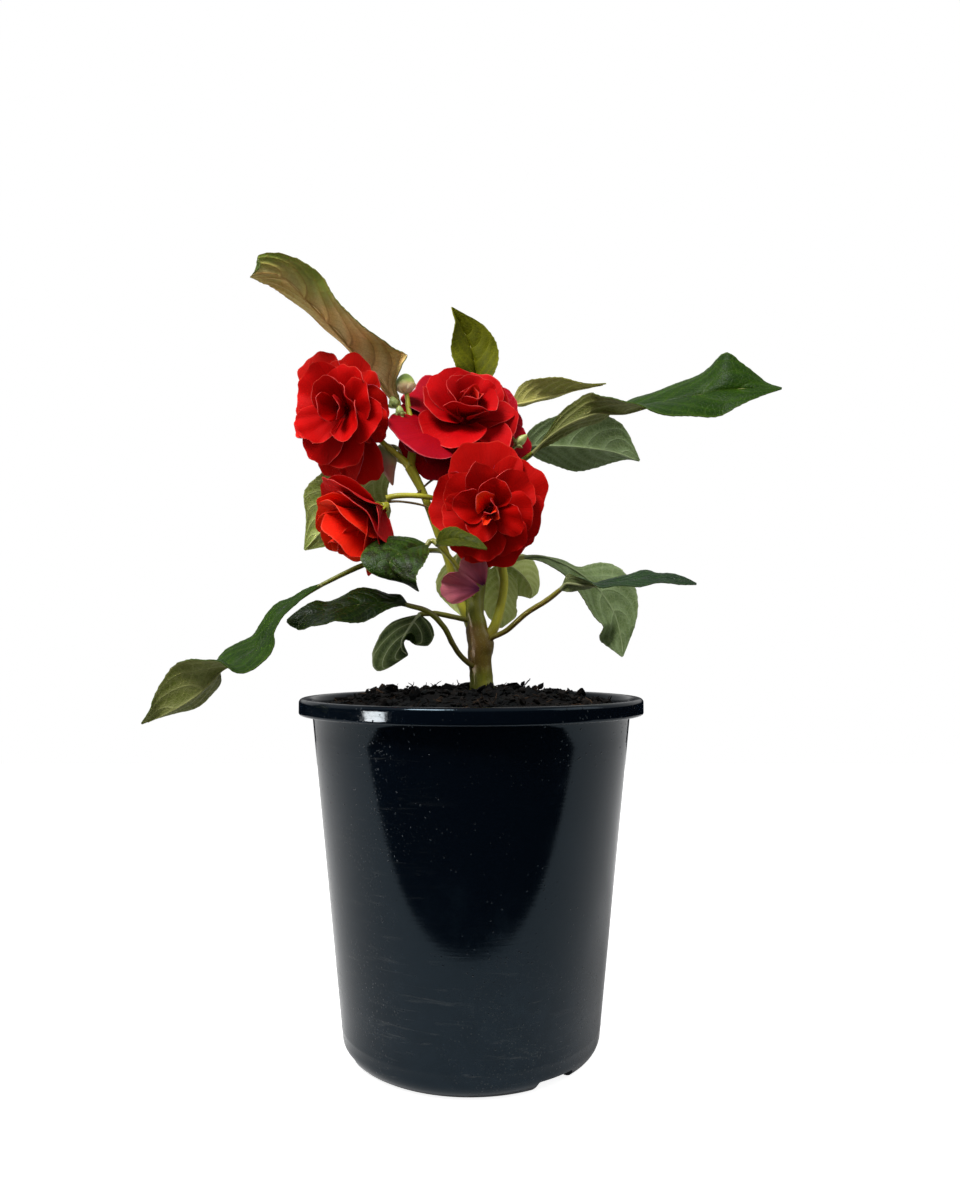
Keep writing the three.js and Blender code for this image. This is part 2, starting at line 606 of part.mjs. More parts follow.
// A leaf: a sheet bent to the blade, joined to a petiole that runs on below it as the midrib.
function leaf({ petiole, spine, faces, folds, right, left, rightSweep = [], leftSweep = [] }, grow) {
  const curve = curveThrough(spine);
  const steps = Math.max(5, Math.round(curve.getLength() / bladeStep));
  const blade = sheet(2, steps, bladeThickness + 2 * grow, (vertex) => {
    const reach = vertex.y + 0.5;
    const spot = curve.getUtoTmapping(reach) * (spine.length - 1);
    const tangent = curve.getTangentAt(reach);
    const face = vectorAlong(faces, spot - 1);
    face.addScaledVector(tangent, -face.dot(tangent)).normalize();
    const side = new THREE.Vector3().crossVectors(tangent, face);
    const widths = [narrowest, ...(vertex.x > 0 ? right : left), narrowest];
    const sweeps = [0, ...(vertex.x > 0 ? rightSweep : leftSweep), 0];
    const sideways = vertex.x * (valueAlong(widths, spot) + grow);
    const fold = THREE.MathUtils.degToRad(valueAlong(folds, spot - 1));
    return pointOn(curve, reach, grow)
      .addScaledVector(tangent, Math.abs(vertex.x) * valueAlong(sweeps, spot))
      .addScaledVector(side, sideways * Math.cos(fold))
      .addScaledVector(face, Math.abs(sideways) * Math.sin(fold));
  });
  const midrib = [...petiole, ...spine.slice(0, 2)];
  const radii = [...petiole.map(() => petioleRadius), 1, 0.5];
  return blade.add(stem(midrib, radii, grow, 6, bladeStep));
}

// ---------------------------------------------------------------- flowers

// Radius of a petal's outline at a share (-1 to 1) of the way across its fan: round, with a notch.
function petalReach(share) {
  return 0.25 + 0.75 * (1 - share ** 2) ** 0.42 - 0.09 * Math.exp(-((share / 0.2) ** 2));
}

function petalPoint(form, out, share) {
  const fan = THREE.MathUtils.degToRad(form.fan) * share;
  const distance = form.length * petalReach(share) * out;
  const lengthways = distance * Math.cos(fan);
  const across = distance * Math.sin(fan);
  const lift = THREE.MathUtils.degToRad(form.lift);
  const bend = THREE.MathUtils.degToRad(form.bend);
  const angle = lift + (bend * lengthways) / form.length;
  const radius = petalFoot + (form.length * (Math.sin(angle) - Math.sin(lift))) / bend;
  const height = form.height - (form.length * (Math.cos(angle) - Math.cos(lift))) / bend;
  const sag = (1 - Math.cos(form.cup * across)) / form.cup + form.tilt * across;
  return vector([
    radius - sag * Math.sin(angle),
    Math.sin(form.cup * across) / form.cup,
    height + sag * Math.cos(angle),
  ]);
}

function petal(form, grow) {
  const widening = 1 + grow / form.length;
  return sheet(4, 2, petalThickness + 2 * grow, (vertex) => {
    const out = Math.max(0.06, (vertex.y + 0.5) * widening);
    return petalPoint(form, out, -vertex.x);
  });
}

function whorl(form, grow) {
  const middle = new THREE.CylinderGeometry(hub.radius + grow, hub.radius + grow, hub.height + 2 * grow, 7);
  middle.rotateX(Math.PI / 2);
  middle.translate(0, 0, form.height);
  let body = toSolid(middle);
  for (let index = 0; index < form.count; index += 1) {
    body = body.add(petal(form, grow).rotate([0, 0, (360 * index) / form.count]));
  }
  return body;
}

function placeFlower({ base, facing, turn, size }, solid) {
  const axis = new THREE.Vector3(0, 0, 1);
  const aim = new THREE.Quaternion().setFromUnitVectors(axis, vector(facing).normalize());
  const spin = new THREE.Quaternion().setFromAxisAngle(axis, THREE.MathUtils.degToRad(turn));
  const matrix = new THREE.Matrix4();
  matrix.compose(vector(base), aim.multiply(spin), vector([size, size, size]));
  return solid.transform(matrix.elements);
}

function calyx(grow) {
  const { topRadius, footRadius, height } = calyxSize;
  const cone = new THREE.CylinderGeometry(topRadius + grow, footRadius + grow, height + 2 * grow, 8);
  cone.rotateX(Math.PI / 2);
  cone.translate(0, 0, -height);
  return toSolid(cone);
}

function bud({ centre, radius, stretch, stalk }, grow) {
  const ball = new THREE.SphereGeometry(radius + grow, 8, 6);
  ball.scale(1, 1, stretch);
  ball.translate(...centre);
  const route = [...stalk, centre];
  return toSolid(ball).add(stem(route, route.map(() => stalkRadius), grow, 6));
}

function fadedPetal({ base, facing, turn, length, fan }, grow) {
  const form = { height: 0, lift: 8, bend: 20, length, fan, cup: 0.06, tilt: 0 };
  return placeFlower({ base, facing, turn, size: 1 }, petal(form, grow));
}

// ---------------------------------------------------------------- assembly

const pieces = [];

function addPiece(name, colour, roughness, build) {
  pieces.push({ name, colour: colours[colour], roughness, build });
}

addPiece('pot', 'pot', 0.25, potSolid);
for (const [name, route] of Object.entries(stemRoutes)) {
  const colour = name === 'main_stem' ? 'stem' : 'youngStem';
  const sides = name === 'main_stem' ? 10 : 7;
  addPiece(name, colour, 0.5, (grow) => stem(route.points, route.radii, grow, sides));
}
for (const [name, flower] of Object.entries(flowers)) {
  for (const [part, form] of Object.entries(whorls).reverse()) {
    const raised = { ...form, lift: form.lift + flower.closing * (1 - form.lift / 90) };
    const colour = part === 'outer_petals' ? 'deepRed' : 'red';
    addPiece(`${name}_${part}`, colour, 0.5, (grow) => placeFlower(flower, whorl(raised, grow)));
  }
  addPiece(`${name}_calyx`, 'youngStem', 0.5, (grow) => placeFlower(flower, calyx(grow)));
}
for (const [name, route] of Object.entries(spurs)) {
  addPiece(name, 'youngStem', 0.5, (grow) => stem(route, [spurRadius, spurRadius], grow, 5));
}
for (const [name, shape] of Object.entries(buds)) {
  addPiece(name, 'bud', 0.45, (grow) => bud(shape, grow));
}
for (const [name, shape] of Object.entries(fadedPetals)) {
  addPiece(name, 'faded', 0.6, (grow) => fadedPetal(shape, grow));
}
for (const [name, shape] of Object.entries(leaves)) {
  addPiece(name, shape.colour, 0.4, (grow) => leaf(shape, grow));
}
addPiece('soil', 'soil', 0.95, soilSolid);

function boxesTouch(a, b) {
  return [0, 1, 2].every((axis) => a.min[axis] < b.max[axis] && b.min[axis] < a.max[axis]);
}

// The main body of a fitted piece, without the crumbs and slivers that fitting leaves.
function largestBody(solid) {
  const bodies = solid.simplify(sliverSize).decompose();
  return bodies.reduce((best, body) => (body.volume() > best.volume() ? body : best));
}

// Each piece keeps its whole shape and later ones are fitted round it with the touching gap.
const plant = new THREE.Group();
const placed = [];
for (const { name, colour, roughness, build } of pieces) {
  let solid = build(0);
  const box = solid.boundingBox();
  for (const earlier of placed) {
    if (earlier.name !== 'pot' && boxesTouch(box, earlier.box)) {
      solid = solid.subtract(earlier.cutter);
    }
  }
  if (name !== 'pot') {
    const cutter = build(touchGap);
    placed.push({ name, cutter, box: cutter.boundingBox() });
  }
  plant.add(toMesh(name, largestBody(solid), colour, roughness));
}

export default plant;
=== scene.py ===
import math
import random

import bpy
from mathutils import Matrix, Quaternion, Vector, noise


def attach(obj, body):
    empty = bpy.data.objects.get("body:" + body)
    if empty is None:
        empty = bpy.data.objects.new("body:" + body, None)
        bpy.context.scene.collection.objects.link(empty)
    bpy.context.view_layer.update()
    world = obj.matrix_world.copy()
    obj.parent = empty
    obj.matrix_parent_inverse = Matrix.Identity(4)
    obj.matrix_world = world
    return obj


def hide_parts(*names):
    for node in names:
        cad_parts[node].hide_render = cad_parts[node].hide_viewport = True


# Busy lizzie with double red flowers in a black nursery pot. Lengths below are millimetres.
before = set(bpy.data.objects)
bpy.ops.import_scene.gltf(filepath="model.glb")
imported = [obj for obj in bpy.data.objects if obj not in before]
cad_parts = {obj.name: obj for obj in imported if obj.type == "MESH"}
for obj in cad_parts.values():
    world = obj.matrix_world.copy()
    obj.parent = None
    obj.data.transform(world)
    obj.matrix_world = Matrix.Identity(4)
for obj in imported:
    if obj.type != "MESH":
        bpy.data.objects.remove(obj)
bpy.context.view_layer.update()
mm = 0.001
blanks = [bpy.data.materials.new("blank") for slot in range(3)]  # they hold a piece's slots until it is done
print("stage: frame loaded with", len(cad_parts), "nodes")


# small helpers

def deselectAll():
    bpy.ops.object.select_all(action="DESELECT")


def takeNew(name):
    piece = bpy.context.object
    piece.name = name
    piece.data.name = name
    return piece


def selectOnly(*pieces):
    deselectAll()
    for piece in pieces:
        piece.select_set(True)
    bpy.context.view_layer.objects.active = pieces[0]


def applyModifier(piece, kind, **settings):
    selectOnly(piece)
    modifier = piece.modifiers.new(kind.title(), kind)
    for key, value in settings.items():
        setattr(modifier, key, value)
    bpy.ops.object.modifier_apply(modifier=modifier.name)


def joinAll(name, pieces):
    selectOnly(*pieces)
    if len(pieces) > 1:
        bpy.ops.object.join()
    return takeNew(name)


def smoothShade(piece, angle):
    selectOnly(piece)
    bpy.ops.object.shade_smooth_by_angle(angle=math.radians(angle))


def mix(low, high, share):
    return low + (high - low) * share


def clamp(value, low=0.0, high=1.0):
    return max(low, min(high, value))


def valueAt(values, spot):
    # smooth curve through a list of numbers or vectors
    spot = clamp(spot, 0, len(values) - 1)
    first = min(int(spot), len(values) - 2)
    share = spot - first
    b, c = values[first], values[first + 1]
    a = values[first - 1] if first > 0 else b * 2 - c
    d = values[first + 2] if first + 2 < len(values) else c * 2 - b
    return (b * 2 + (c - a) * share + (a * 2 - b * 5 + c * 4 - d) * share ** 2
            + (b * 3 - a - c * 3 + d) * share ** 3) * 0.5


def walk(points, steps):
    # evenly spaced stations on a smooth curve: place, direction and spot in the list of points
    points = [Vector(point) for point in points]
    spans = len(points) - 1
    fine = 24 * spans
    near = 0.05  # how far apart, in spans, the two spots are that give a direction
    spots = [index * spans / fine for index in range(fine + 1)]
    places = [valueAt(points, spot) for spot in spots]
    run = [0.0]
    for before, after in zip(places, places[1:]):
        run.append(run[-1] + (after - before).length)
    stations = []
    mark = 0
    for step in range(steps + 1):
        goal = run[-1] * step / steps
        while mark < fine - 1 and run[mark + 1] < goal:
            mark += 1
        share = clamp((goal - run[mark]) / (run[mark + 1] - run[mark]))
        spot = mix(spots[mark], spots[mark + 1], share)
        ahead = valueAt(points, min(spot + near, spans))
        behind = valueAt(points, max(spot - near, 0))
        stations.append((valueAt(points, spot), (ahead - behind).normalized(), spot))
    return stations, run[-1]


def lengthOf(points):
    return walk(points, 2)[1]


def relabel(piece, name, labels):
    # give each point of the mesh its own place on the surface, for the materials
    layer = piece.data.uv_layers[0]
    layer.name = name
    for loop in piece.data.loops:
        layer.data[loop.index].uv = labels[loop.vertex_index]


def newGrid(across, along, slots=1):
    deselectAll()
    bpy.ops.mesh.primitive_grid_add(x_subdivisions=across, y_subdivisions=along, size=2)
    for slot in range(slots):
        bpy.context.object.data.materials.append(blanks[slot])
    return bpy.context.object


def closeShell(piece):
    # weld the seam, close the open ends and turn the faces outwards
    selectOnly(piece)
    bpy.ops.object.mode_set(mode="EDIT")
    bpy.ops.mesh.select_all(action="SELECT")
    bpy.ops.mesh.remove_doubles(threshold=0.001 * mm)
    bpy.ops.mesh.select_all(action="SELECT")
    bpy.ops.mesh.fill_holes(sides=0)
    bpy.ops.mesh.select_all(action="SELECT")
    bpy.ops.mesh.normals_make_consistent(inside=False)
    bpy.ops.object.mode_set(mode="OBJECT")


def tube(points, radii, sides=16, step=1.2, lumps=0.0, slots=1):
    # a grid rolled round a curve, with its own thickness at each point
    steps = max(4, round(lengthOf(points) / step))
    stations, length = walk(points, steps)
    piece = newGrid(sides, steps, slots)
    side = stations[0][1].orthogonal().normalized()
    rings = []
    for place, tangent, spot in stations:
        side = (side - tangent * side.dot(tangent)).normalized()
        rings.append((place, side.copy(), tangent.cross(side), valueAt(radii, spot)))
    labels = []
    for vertex in piece.data.vertices:
        reach = (vertex.co.y + 1) / 2
        place, out, over, radius = rings[round(reach * steps)]
        turn = math.pi * vertex.co.x
        direction = out * math.cos(turn) + over * math.sin(turn)
        bump = lumps * noise.noise((place + direction * radius) * 0.35)
        labels.append((vertex.co.x / 2 + 0.5, reach * length / 10))  # turns round it, centimetres along it
        vertex.co = (place + direction * (radius + bump)) * mm
    relabel(piece, "skin", labels)
    closeShell(piece)
    return piece


def camelName(node):
    words = node.split("_")
    return words[0] + "".join(word.title() for word in words[1:])


def settle(parts, node, finishes, angle=60, name=None):
    # the parts become one piece in the place of a node; a spare slot takes the last finish
    piece = joinAll(name or camelName(node), parts)
    if angle:
        smoothShade(piece, angle)
    for slot in range(max(len(finishes), len(piece.data.materials))):
        finish = finishes[min(slot, len(finishes) - 1)]
        if slot < len(piece.data.materials):
            piece.data.materials[slot] = finish
        else:
            piece.data.materials.append(finish)
    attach(piece, "root")
    if node:
        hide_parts(node)


# materials: sums on sockets are written as Python sums

class Wire:
    def __init__(self, recipe, socket):
        self.recipe = recipe
        self.socket = socket

    def sum(self, operation, first, second=0.0):
        return self.recipe.node("ShaderNodeMath", {"operation": operation}, {0: first, 1: second})

    def __add__(self, other):
        return self.sum("ADD", self, other)

    __radd__ = __add__

    def __sub__(self, other):
        return self.sum("SUBTRACT", self, other)

    def __rsub__(self, other):
        return self.sum("SUBTRACT", other, self)

    def __mul__(self, other):
        return self.sum("MULTIPLY", self, other)

    __rmul__ = __mul__

    def __truediv__(self, other):
        return self.sum("DIVIDE", self, other)

    def size(self):
        return self.sum("ABSOLUTE", self)

    def wave(self):
        return self.sum("SINE", self)

    def swing(self):
        # 0 at every whole number and 1 half-way between
        return self.sum("PINGPONG", self, 0.5) * 2

    def most(self, other):
        return self.sum("MAXIMUM", self, other)

    def rise(self, low, high):
        # from 0 at low to 1 at high
        return self.recipe.node("ShaderNodeMapRange", {"interpolation_type": "SMOOTHSTEP"},
                                {0: self, 1: low, 2: high, 3: 0.0, 4: 1.0})


class Recipe:
    def __init__(self, name, library=None):
        self.owner = (bpy.data.materials if library is None else library).new(name)
        self.owner.use_nodes = True
        self.tree = self.owner.node_tree
        self.tree.nodes.clear()

    def node(self, kind, settings=None, values=None, output=0):
        item = self.tree.nodes.new(kind)
        for key, value in (settings or {}).items():
            setattr(item, key, value)
        for key, value in (values or {}).items():
            if isinstance(value, Wire):
                self.tree.links.new(value.socket, item.inputs[key])
            else:
                item.inputs[key].default_value = value
        return Wire(self, item.outputs[output] if item.outputs else None)

    def place(self):
        return self.node("ShaderNodeTexCoord", output="Object")

    def label(self, name):
        return self.split(self.node("ShaderNodeUVMap", {"uv_map": name}))[:2]

    def split(self, vector):
        separate = self.node("ShaderNodeSeparateXYZ", values={0: vector}).socket.node
        return [Wire(self, output) for output in separate.outputs]

    def gather(self, x, y, z=0.0):
        return self.node("ShaderNodeCombineXYZ", values={0: x, 1: y, 2: z})

    def stretch(self, vector, scale):
        return self.node("ShaderNodeMapping", values={"Vector": vector, "Scale": scale})

    def grain(self, vector, scale, detail=3.0, roughness=0.55, distortion=0.0):
        values = {"Vector": vector, "Scale": scale, "Detail": detail, "Roughness": roughness,
                  "Distortion": distortion}
        return self.node("ShaderNodeTexNoise", values=values)

    def cells(self, vector, scale, feature="F1", output="Distance"):
        return self.node("ShaderNodeTexVoronoi", {"feature": feature},
                         {"Vector": vector, "Scale": scale}, output=output)

    def blend(self, share, first, second):
        return self.node("ShaderNodeMix", {"data_type": "RGBA"}, {0: share, 6: first, 7: second}, output=2)

    def bump(self, height, distance, strength=1.0):
        values = {"Height": height, "Distance": distance, "Strength": strength}
        return self.node("ShaderNodeBump", values=values)

    def surface(self, **values):
        names = {key.replace("_", " "): value for key, value in values.items()}
        shader = self.node("ShaderNodeBsdfPrincipled", values=names)
        self.node("ShaderNodeOutputMaterial", values={0: shader})
        return self.owner


def paint(red, green, blue):
    # screen colour 0 to 255 as the linear colour that a shader takes
    return tuple(((value / 255 + 0.055) / 1.055) ** 2.4 if value > 10 else value / 3295
                 for value in (red, green, blue)) + (1.0,)


def paints(colours):
    return [paint(*colour) for colour in colours]


# pot

potMake = {
    "height": 143.7, "rimRadius": 72.5, "rimHeight": 6.6, "rimEdge": 1.6, "rimBead": 0.9,
    "wallTopRadius": 66.9, "wallFootRadius": 53.5, "wallThickness": 1.3, "ringGap": 12,
    "footCorner": 7, "footFlat": 4, "floorThickness": 1.8, "floorCorner": 5,
    "lineHeight": 10.5, "lineWidth": 0.5, "lineDepth": 0.08, "sides": 160,
    "drainAzimuths": [-52, -157.5, 128, 22.5], "drainWidth": 20, "drainHeight": 4.6, "drainReach": 15,
    "drainTaper": 1.5, "drainEdge": 0.8,
}


def arc(radius, height, size, fromAngle, toAngle, steps):
    points = []
    for step in range(steps + 1):
        angle = math.radians(mix(fromAngle, toAngle, step / steps))
        points.append((radius + size * math.cos(angle), height + size * math.sin(angle)))
    return points


def turned(profile, sides):
    # a disc extruded ring by ring along a profile of (radius, height), closed by its last ring
    deselectAll()
    radius, height = profile[0]
    bpy.ops.mesh.primitive_circle_add(vertices=sides, radius=radius * mm, fill_type="NGON",
                                      location=(0, 0, height * mm))
    bpy.ops.object.transform_apply(location=True, rotation=True, scale=True)
    bpy.ops.object.mode_set(mode="EDIT")
    bpy.ops.mesh.select_all(action="SELECT")
    for newRadius, newHeight in profile[1:]:
        bpy.ops.mesh.extrude_region_move(TRANSFORM_OT_translate={"value": (0, 0, (newHeight - height) * mm)})
        share = newRadius / radius
        bpy.ops.transform.resize(value=(share, share, 1), center_override=(0, 0, newHeight * mm))
        radius, height = newRadius, newHeight
    bpy.ops.mesh.select_all(action="SELECT")
    bpy.ops.mesh.normals_make_consistent(inside=False)
    bpy.ops.object.mode_set(mode="OBJECT")
    return bpy.context.object


def potProfile(make):
    # up the outside from the underside, over the rim and down the inside
    top, rim, edge, bead = make["height"], make["rimRadius"], make["rimEdge"], make["rimBead"]
    foot, corner, inset = make["wallFootRadius"], make["footCorner"], make["wallThickness"]
    skirt = top - make["rimHeight"]
    slope = (make["wallTopRadius"] - foot) / (skirt - corner)

    def wall(height):
        return foot + slope * (height - corner)

    line, half = make["lineHeight"], make["lineWidth"]
    profile = [(foot - corner - make["footFlat"], 0.0)] + arc(foot - corner, corner, corner, -90, 0, 10)
    profile += [(wall(line - half), line - half), (wall(line) + make["lineDepth"], line),
                (wall(line + half), line + half)]
    profile += [(wall(height), height) for height in range(20, 135, make["ringGap"])]
    # the underside of the rim, its bead, its top edge and the step down to the inside
    profile += [(wall(skirt - 1.6), skirt - 1.6), (wall(skirt) + 0.3, skirt - 0.3),
                (wall(skirt) + 1.0, skirt)]
    profile += arc(rim - bead, skirt + bead, bead, -90, 0, 4) + [(rim, skirt + 1.3), (rim, top - edge - 0.4)]
    profile += arc(rim - edge, top - edge, edge, 0, 90, 7)
    inner = wall(top) - inset
    profile += [(inner + 2.6, top - 0.05), (inner + 1.1, top - 0.35), (inner + 0.3, top - 1.3),
                (inner, top - 2.6)]
    profile += [(wall(height) - inset, height) for height in range(132, 12, -make["ringGap"])]
    bend = make["floorCorner"]
    return profile + arc(foot - inset - bend, make["floorThickness"] + bend, bend, 0, -90, 4)


def buildPot(make):
    pot = turned(potProfile(make), make["sides"])
    reach, width, height = make["drainReach"], make["drainWidth"], make["drainHeight"]
    spill, drop = 10, 1  # how far a cutting block stands out of the wall and below the foot
    for azimuth in make["drainAzimuths"]:
        deselectAll()
        bpy.ops.mesh.primitive_cube_add(size=1, location=(0, 0, 0))
        block = bpy.context.object
        turn = math.radians(azimuth)
        for vertex in block.data.vertices:
            narrowing = make["drainTaper"] if vertex.co.z > 0 else 0
            x = vertex.co.x * (reach + spill) + make["wallFootRadius"] - reach / 2 + spill / 2
            y = vertex.co.y * (width - 2 * narrowing)
            z = (vertex.co.z + 0.5) * (height + drop) - drop
            vertex.co = Vector((x * math.cos(turn) - y * math.sin(turn),
                                x * math.sin(turn) + y * math.cos(turn), z)) * mm
        applyModifier(block, "BEVEL", width=make["drainEdge"] * mm, segments=2)
        applyModifier(pot, "BOOLEAN", operation="DIFFERENCE", solver="EXACT", object=block)
        bpy.data.objects.remove(block)
    return pot


def potPlastic():
    skin = Recipe("black pot plastic")
    place = skin.place()
    x, _, z = skin.split(place)
    streaks = skin.grain(skin.stretch(place, (60, 60, 900)), 1.0, 4.0, 0.6, 0.4)
    ripples = skin.grain(skin.stretch(place, (90, 90, 30)), 1.0, 2.0, 0.5, 0.6)
    smudge = skin.grain(place, 26, 4.0, 0.6)
    # dust and dried drops gather low down and on one side
    low = 1 - z.rise(0.005, 0.08)
    side = (0 - x).rise(0.0, 0.055) * 0.7
    spotZones = skin.grain(place, 40, 3.0, 0.6).rise(0.46, 0.62)
    specks = (1 - skin.cells(place, 800).rise(0.12, 0.3)) * spotZones * low.most(side)
    drops = skin.cells(place, 230)
    dropZones = skin.grain(place, 22, 2.0).rise(0.48, 0.6)
    rings = drops.rise(0.16, 0.19) * (1 - drops.rise(0.20, 0.24)) * dropZones * low.most(side * 0.6)
    crumbs = (1 - skin.cells(place, 380).rise(0.06, 0.16)) * skin.grain(place, 17, 2.0).rise(0.4, 0.54)
    marks = skin.grain(skin.stretch(place, (40, 40, 420)), 1.0, 5.0, 0.72, 0.8).rise(0.56, 0.7)
    marks = marks * low.most(side)
    haze = (smudge.rise(0.45, 0.75) * 0.5 + low * 0.4) * skin.grain(place, 120, 5.0, 0.7).rise(0.3, 0.7)
    plastic, dull = (0.0010, 0.0022, 0.0042, 1), (0.009, 0.015, 0.022, 1)
    dust, earth = paints([(112, 112, 108), (96, 92, 84)])
    base = skin.blend(haze * 0.5, plastic, dull)
    base = skin.blend((specks * 0.14).most(rings * 0.05).most(marks * 0.12), base, dust)
    base = skin.blend(crumbs * 0.06, base, earth)
    # the rim is the least even part
    rimWaves = skin.grain(place, 210, 2.0) * z.rise(0.1365, 0.1375)
    height = streaks * 0.35 + ripples * 0.5 + specks * 0.7 + rings * 0.12 + crumbs * 1.8 + rimWaves * 1.6
    rough = 0.075 + haze * 0.16 + specks * 0.35 + streaks * 0.04 + marks * 0.14 + crumbs * 0.2
    return skin.surface(Base_Color=base, Roughness=rough, Normal=skin.bump(height, 0.00007, 0.55), IOR=1.47,
                        Specular_IOR_Level=0.25, Specular_Tint=(0.6, 0.83, 1.0, 1))


settle([buildPot(potMake)], "pot", [potPlastic()], 40, "nurseryPot")
print("stage: pot")


# potting mix

soilMake = {
    "edge": 138.2, "crown": 146.6, "radius": 64.6, "rings": 46, "sides": 144, "lumps": 1.8, "fine": 1.3,
    "chips": 2300, "chipKinds": 9, "chipTilt": 0.9, "chipScale": 0.15, "chipSpread": 0.5, "mostChip": 3.4,
    "fibres": 190, "fibreKinds": 4, "fibreTilt": 0.28, "fibreRadii": [0.2, 0.26, 0.24, 0.2, 0.12],
    "bareEdge": 2.5, "seed": 11,
}


def soilHeight(x, y):
    share = clamp(math.hypot(x, y) / soilMake["radius"])
    dome = mix(soilMake["crown"], soilMake["edge"], share ** 3)
    broad = noise.noise(Vector((x * 0.09, y * 0.09, 3.0))) * soilMake["lumps"]
    fine = noise.noise(Vector((x * 0.33, y * 0.33, 7.0))) + 0.5 * noise.noise(Vector((x * 0.8, y * 0.8, 1.0)))
    return dome + (broad + fine * soilMake["fine"]) * (1 - share ** 8)


def buildSoil(make):
    foot, size, edge = potMake["wallFootRadius"], make["radius"], make["edge"]
    profile = [(foot - 12, 3.0), (foot - 5.5, 6.5), (foot - 3.0, 11.0), (size - 0.6, edge - 3)]
    for ring in range(make["rings"]):
        profile.append((size * (1 - ring / make["rings"]) ** 0.9, edge))
    soil = turned(profile, make["sides"])
    for vertex in soil.data.vertices:
        x, y, z = vertex.co / mm
        if z > edge - 0.5:  # the flat top, which takes the uneven height
            vertex.co.z = soilHeight(x, y) * mm
    return soil


def chipShape(draw):
    # a torn flake of bark
    deselectAll()
    bpy.ops.mesh.primitive_ico_sphere_add(subdivisions=1, radius=1)
    chip = bpy.context.object
    stretch = Vector((draw.uniform(0.7, 1.7), draw.uniform(0.5, 1.0), draw.uniform(0.2, 0.5)))
    for vertex in chip.data.vertices:
        jag = draw.uniform(0.6, 1.25)
        vertex.co = Vector((vertex.co.x * stretch.x, vertex.co.y * stretch.y, vertex.co.z * stretch.z)) * jag
    return chip


def scatter(kinds, count, draw, place):
    # copies of a few kinds, each turned, sized and put down by place
    copies = []
    for index in range(count):
        kind = kinds[index % len(kinds)]
        copy = kind.copy()
        copy.data = kind.data.copy()
        bpy.context.collection.objects.link(copy)
        turn, size, where = place(draw)
        for vertex in copy.data.vertices:
            vertex.co = (where + turn @ (vertex.co * size)) * mm
        copies.append(copy)
    for kind in kinds:
        bpy.data.objects.remove(kind)
    return copies


def onSoil(draw, lift):
    # anywhere on the mix, as often near the edge as in the middle
    angle = draw.uniform(0, 2 * math.pi)
    radius = (soilMake["radius"] - soilMake["bareEdge"]) * math.sqrt(draw.random())
    x, y = radius * math.cos(angle), radius * math.sin(angle)
    return Vector((x, y, soilHeight(x, y) + lift))


def chipPlace(draw):
    turn = Quaternion((0, 0, 1), draw.uniform(0, 6.28))
    turn = turn @ Quaternion((1, 0, 0), draw.gauss(0, soilMake["chipTilt"]))
    size = min(draw.lognormvariate(soilMake["chipScale"], soilMake["chipSpread"]), soilMake["mostChip"])
    return turn, size, onSoil(draw, draw.uniform(-0.6, 0.55 * size + 0.2))


def fibreShape(draw):
    # a bent hair, made in metres and scaled back to millimetres
    points = [Vector((0, 0, 0))]
    heading = Vector((1, 0, 0))
    for radius in soilMake["fibreRadii"][1:]:
        heading = (heading + Vector((0, draw.gauss(0, 0.35), draw.gauss(0, 0.3)))).normalized()
        points.append(points[-1] + heading * draw.uniform(0.9, 1.9))
    fibre = tube(points, soilMake["fibreRadii"], 5, 2.2)
    for vertex in fibre.data.vertices:
        vertex.co /= mm
    return fibre


def fibrePlace(draw):
    turn = Quaternion((0, 0, 1), draw.uniform(0, 6.28))
    turn = turn @ Quaternion((0, 1, 0), draw.gauss(0, soilMake["fibreTilt"]))
    return turn, draw.uniform(0.6, 1.2), onSoil(draw, draw.uniform(0.1, 1.0))


def barkMix(name, colours, share):
    dark, light = paints(colours)
    skin = Recipe(name)
    place = skin.place()
    tone = skin.split(skin.cells(place, 190, output="Color"))[0]
    grit = skin.grain(place, 700, 5.0, 0.7)
    damp = skin.grain(place, 60, 3.0)
    base = skin.blend((tone * 0.7 + grit * 0.5).rise(0.35, 1.0) * share, dark, light)
    return skin.surface(Base_Color=base, Roughness=0.62 + 0.3 * damp, Specular_IOR_Level=0.1,
                        Normal=skin.bump(grit * 0.6 + tone * 0.2, 0.0008, 0.9))


draw = random.Random(soilMake["seed"])
settle([buildSoil(soilMake)], "soil", [barkMix("moist bark", [(2, 3, 4), (14, 10, 8)], 0.4)],
       35, "pottingMix")
kinds = [chipShape(draw) for kind in range(soilMake["chipKinds"])]
chips = scatter(kinds, soilMake["chips"], draw, chipPlace)
settle(chips, None, [barkMix("bark chips", [(2, 4, 5), (30, 22, 16)], 0.4)], None, "barkChips")
kinds = [fibreShape(draw) for kind in range(soilMake["fibreKinds"])]
fibres = scatter(kinds, soilMake["fibres"], draw, fibrePlace)
settle(fibres, None, [barkMix("bark fibres", [(12, 8, 6), (62, 46, 32)], 0.8)], None,
       "soilFibres")
print("stage: potting mix")


# stems

